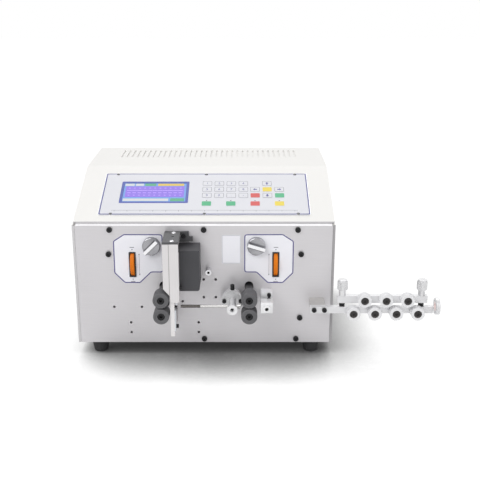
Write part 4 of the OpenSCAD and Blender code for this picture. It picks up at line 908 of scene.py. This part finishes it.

# Feed rollers: steel cores with a dark grey ribbed rubber face, pinned on ground shafts. The
# ribs run along each roller and grip the wire. Painted shade colours each face near black about its shaft.
wire_at = (-45, 100)
roller_radius = 12.0
roller_bore_shade = 5.7
roller_mid = 3.0
roller_x = 66.0
roller_z = 12.9
roller_ribs = 64
roller_rib = (0.5, 20, 0.5)
roller_rib_sunk = 0.12
shaft_steel = surface(
    "shaft_steel", brushed, dark=(0.015, 0.015, 0.016), light=(0.035, 0.035, 0.037), rough=(0.3, 0.45),
    bump=0.06, metallic=0.2, sheen=0.2, Stretch=(900, 60, 900), Mottle=40.0,
)
for side, sign in (("left", -1), ("right", 1)):
    for level, up in (("lower", -1), ("upper", 1)):
        centre = row(roller_mid + sign * roller_x, wire_at[0], wire_at[1] + up * roller_z)
        tread = surface(
            f"{side}_{level}_tread", moulded, dark=(0.095, 0.094, 0.10), light=(0.14, 0.139, 0.146),
            rough=(0.45, 0.6), bump=0.25, metallic=0.1, Scale=900.0,
        )
        # Painted shade: near black about the shaft, in the roller's bore.
        core(tread, centre, (1, 0, 1), roller_bore_shade, (0.006, 0.006, 0.006))
        dress(tread, f"{side}_{level}_roller")
        dress(shaft_steel, f"{side}_{level}_shaft")
        rim = roller_radius - roller_rib_sunk
        ribs = ribbed(f"{side}_{level}_roller_ribs", roller_ribs, rim, roller_rib, tread, centre, "X")
        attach(ribs, f"{side}_{level}_feed")

# Blade head: a dark painted bracket and sensor cover, a guard folded from satin alloy sheet with painted
# shade along its crease, milled holders, and ground steel blades that two small black screws clamp to
# their holders.
guard_crease = -49.6
crease_shade_reach = 0.5
clamp_y = -45.7
clamp_screws = {"upper": (-35.2, 130), "lower": (-41, 68)}
socket_screw = [(3.0, 0.0), (3.0, 3.2), (2.7, 3.6), (1.6, 3.6), (1.5, 1.4)]


def disc(mesh, centre, axis, profile, steps=24):
    """A turned body: radius and height pairs swept about an axis through a point."""
    around = Vector(axis).to_track_quat("Z", "Y").to_matrix()
    angles = [2 * math.pi * k / steps for k in range(steps)]
    rings = []
    for radius, height in profile:
        spots = [Vector((radius * math.cos(a), radius * math.sin(a), height)) for a in angles]
        rings.append([mesh.verts.new(centre + around @ spot / 1000) for spot in spots])
    for first, second in zip(rings, rings[1:]):
        for k in range(steps):
            j = (k + 1) % steps
            mesh.faces.new((first[k], first[j], second[j], second[k]))
    mesh.faces.new(list(reversed(rings[0])))
    mesh.faces.new(rings[-1])


def satin(name, dark, light, metallic):
    """Alloy with fine upright grinding lines."""
    return surface(
        name, brushed, dark, light, rough=(0.35, 0.5), bump=0.05, metallic=metallic,
        Stretch=(1800, 1800, 40), Mottle=18.0,
    )


dark_paint = surface(
    "dark_paint", moulded, dark=(0.065, 0.065, 0.07), light=(0.10, 0.10, 0.105), rough=(0.45, 0.6),
    bump=0.3, metallic=0.1, Scale=1500.0,
)
dress(dark_paint, "head_bracket")
cover_paint = surface(
    "cover_paint", moulded, dark=(0.040, 0.040, 0.046), light=(0.062, 0.062, 0.068), rough=(0.45, 0.6),
    bump=0.3, metallic=0.1, Scale=1500.0,
)
dress(cover_paint, "sensor_cover")
guard_alloy = satin("guard_alloy", (0.57, 0.55, 0.555), (0.65, 0.63, 0.635), 0.4)
dress(guard_alloy, "upper_blade_holder")
holder_alloy = satin("holder_alloy", (0.74, 0.72, 0.72), (0.84, 0.82, 0.82), 0.3)
dress(holder_alloy, "lower_blade_holder")
guard_face = satin("guard_face", (0.67, 0.65, 0.655), (0.76, 0.74, 0.745), 0.4)
# Painted shade: a darker line along the guard's crease.
core(guard_face, row(guard_crease, 0, 0), (1, 0, 0), crease_shade_reach, (0.40, 0.38, 0.38))
dress(guard_face, "blade_guard")
blade_steel = surface(
    "blade_steel", brushed, dark=(0.50, 0.52, 0.55), light=(0.66, 0.68, 0.71), rough=(0.18, 0.3),
    bump=0.06, metallic=1.0, Stretch=(60, 60, 2400), Mottle=50.0,
)
dress(blade_steel, "upper_blade", "lower_blade", "blade_crank")
for level, (x, z) in clamp_screws.items():
    mesh = bmesh.new()
    disc(mesh, row(x, clamp_y, z), (1, 0, 0), socket_screw)
    piece(f"{level}_clamp_screw", mesh, black_oxide, f"{level}_head")

# Swinging conduit: a turned alloy bearing on the plate, its shaft with a bright end cap whose bore is
# painted black as painted shade, and the thin steel tube, darkened at its tip by painted shade, that
# leads the wire from the rollers to the blades.
bearing_mid = row(43.5, 0, 100)
cap_bore_shade = 2.6
tube_tip = -20.0
tube_tip_shade_reach = 15.5
bearing_alloy = surface(
    "bearing_alloy", turned, dark=(0.50, 0.50, 0.51), light=(0.70, 0.70, 0.71), rough=(0.22, 0.34),
    bump=0.08, metallic=0.5, Centre=bearing_mid, Plane=(1, 0, 1), Pitch=0.0011,
)
dress(bearing_alloy, "swing_bearing")
cap_alloy = surface(
    "cap_alloy", turned, dark=(0.70, 0.70, 0.71), light=(0.84, 0.84, 0.85), rough=(0.25, 0.38),
    bump=0.06, metallic=0.5, Centre=bearing_mid, Plane=(1, 0, 1), Pitch=0.0008,
)
# Painted shade: the cap's bore is coloured black.
core(cap_alloy, bearing_mid, (1, 0, 1), cap_bore_shade, (0.01, 0.01, 0.01))
dress(cap_alloy, "swing_shaft")
tube_steel = surface(
    "tube_steel", brushed, dark=(0.60, 0.59, 0.58), light=(0.74, 0.73, 0.72), rough=(0.2, 0.32),
    bump=0.05, metallic=1.0, Stretch=(60, 1800, 1800), Mottle=60.0,
)
# Painted shade: the tube's tip is coloured dark.
core(tube_steel, row(tube_tip, 0, 0), (1, 0, 0), tube_tip_shade_reach, (0.13, 0.12, 0.115))
dress(tube_steel, "conduit_tube")

# Inlet guide: a milled alloy bracket with a clamp and a bright bell mouth, screwed to the plate
# beside the rollers. Its clamp's bore is coloured near black as painted shade.
clamp_at = (95, 100)
clamp_bore_shade = 2.7
guide_alloy = surface(
    "guide_alloy", brushed, dark=(0.78, 0.78, 0.79), light=(0.90, 0.90, 0.91), rough=(0.26, 0.38),
    bump=0.06, metallic=0.3, Stretch=(1600, 50, 50), Mottle=30.0,
)
# Painted shade: the clamp's bore is coloured near black.
core(guide_alloy, row(clamp_at[0], 0, clamp_at[1]), (1, 0, 1), clamp_bore_shade, (0.01, 0.01, 0.01))
dress(guide_alloy, "inlet_guide")

# Straightener: milled alloy bars, white rollers on black shoulder screws, bright knurled thumb
# screws with a black spring under each, and a glazed pink eyelet in an alloy ring.
guide_first = 225.8
guide_step = 32.2
guide_core = 6.1
guide_rows = {"lower": (4, 0.0, 89.0), "upper": (3, 0.5, 110.0)}
lower_bar_top = 96.0
upper_bar_low = 102.3
spring_x = {"left_spring": 209.6, "right_spring": 329.3}
spring_y = -34
spring_wire = 0.5
spring_radius = 3.8
spring_turns = 4.0
bar_alloy = surface(
    "bar_alloy", brushed, dark=(0.66, 0.66, 0.675), light=(0.78, 0.78, 0.79), rough=(0.3, 0.42),
    bump=0.06, metallic=0.5, Stretch=(40, 1600, 1600), Mottle=25.0,
)
dress(bar_alloy, "straightener_lower_bar", "straightener_upper_bar", "eyelet_holder")
block_alloy = surface(
    "block_alloy", brushed, dark=(0.50, 0.49, 0.48), light=(0.64, 0.63, 0.61), rough=(0.34, 0.46),
    bump=0.06, metallic=0.6, Stretch=(40, 1600, 1600), Mottle=90.0,
)
dress(block_alloy, "straightener_block")
thumb_steel = surface(
    "thumb_steel", brushed, dark=(0.62, 0.62, 0.63), light=(0.80, 0.80, 0.81), rough=(0.22, 0.35),
    bump=0.06, metallic=0.8, Stretch=(60, 60, 1500), Mottle=40.0,
)
dress(thumb_steel, "left_thumb_screw", "right_thumb_screw")
glaze = surface(
    "glaze", moulded, dark=(0.76, 0.60, 0.58), light=(0.84, 0.70, 0.68), rough=(0.12, 0.2),
    bump=0.04, Scale=400.0,
)
dress(glaze, "wire_eyelet")
for level, (count, start, z) in guide_rows.items():
    for k in range(count):
        centre = row(guide_first + (k + start) * guide_step, wire_at[0], z)
        finish = surface(
            f"{level}_guide_white_{k + 1}", turned, dark=(0.78, 0.78, 0.80), light=(0.86, 0.86, 0.875),
            rough=(0.3, 0.45), bump=0.08, Centre=centre, Plane=(1, 0, 1), Pitch=0.0007,
        )
        core(finish, centre, (1, 0, 1), guide_core, (0.52, 0.50, 0.50))
        dress(finish, f"{level}_guide_{k + 1}")

coil, given = shape_tree(
    "coil_spring",
    {title: "NodeSocketFloat" for title in ("Turns", "Radius", "Height", "Wire")},
)
helix = {
    "Resolution": 24, "Rotations": given["Turns"], "Height": given["Height"],
    "Start Radius": given["Radius"], "End Radius": given["Radius"],
}
section = {"Resolution": 8, "Radius": given["Wire"]}
sweep = {
    "Curve": grow(coil, "GeometryNodeCurveSpiral", helix, "Curve"),
    "Profile Curve": grow(coil, "GeometryNodeCurvePrimitiveCircle", section, "Curve"),
    "Fill Caps": True,
}
close_tree(coil, given, grow(coil, "GeometryNodeCurveToMesh", sweep, "Mesh"))
for name, x in spring_x.items():
    values = {
        "Turns": spring_turns, "Radius": spring_radius / 1000, "Wire": spring_wire / 1000,
        "Height": (upper_bar_low - lower_bar_top - 2 * spring_wire) / 1000, "Finish": black_oxide,
    }
    spring = grown(name, coil, values, Matrix.Translation(row(x, spring_y, lower_bar_top + spring_wire)))
    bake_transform(spring)
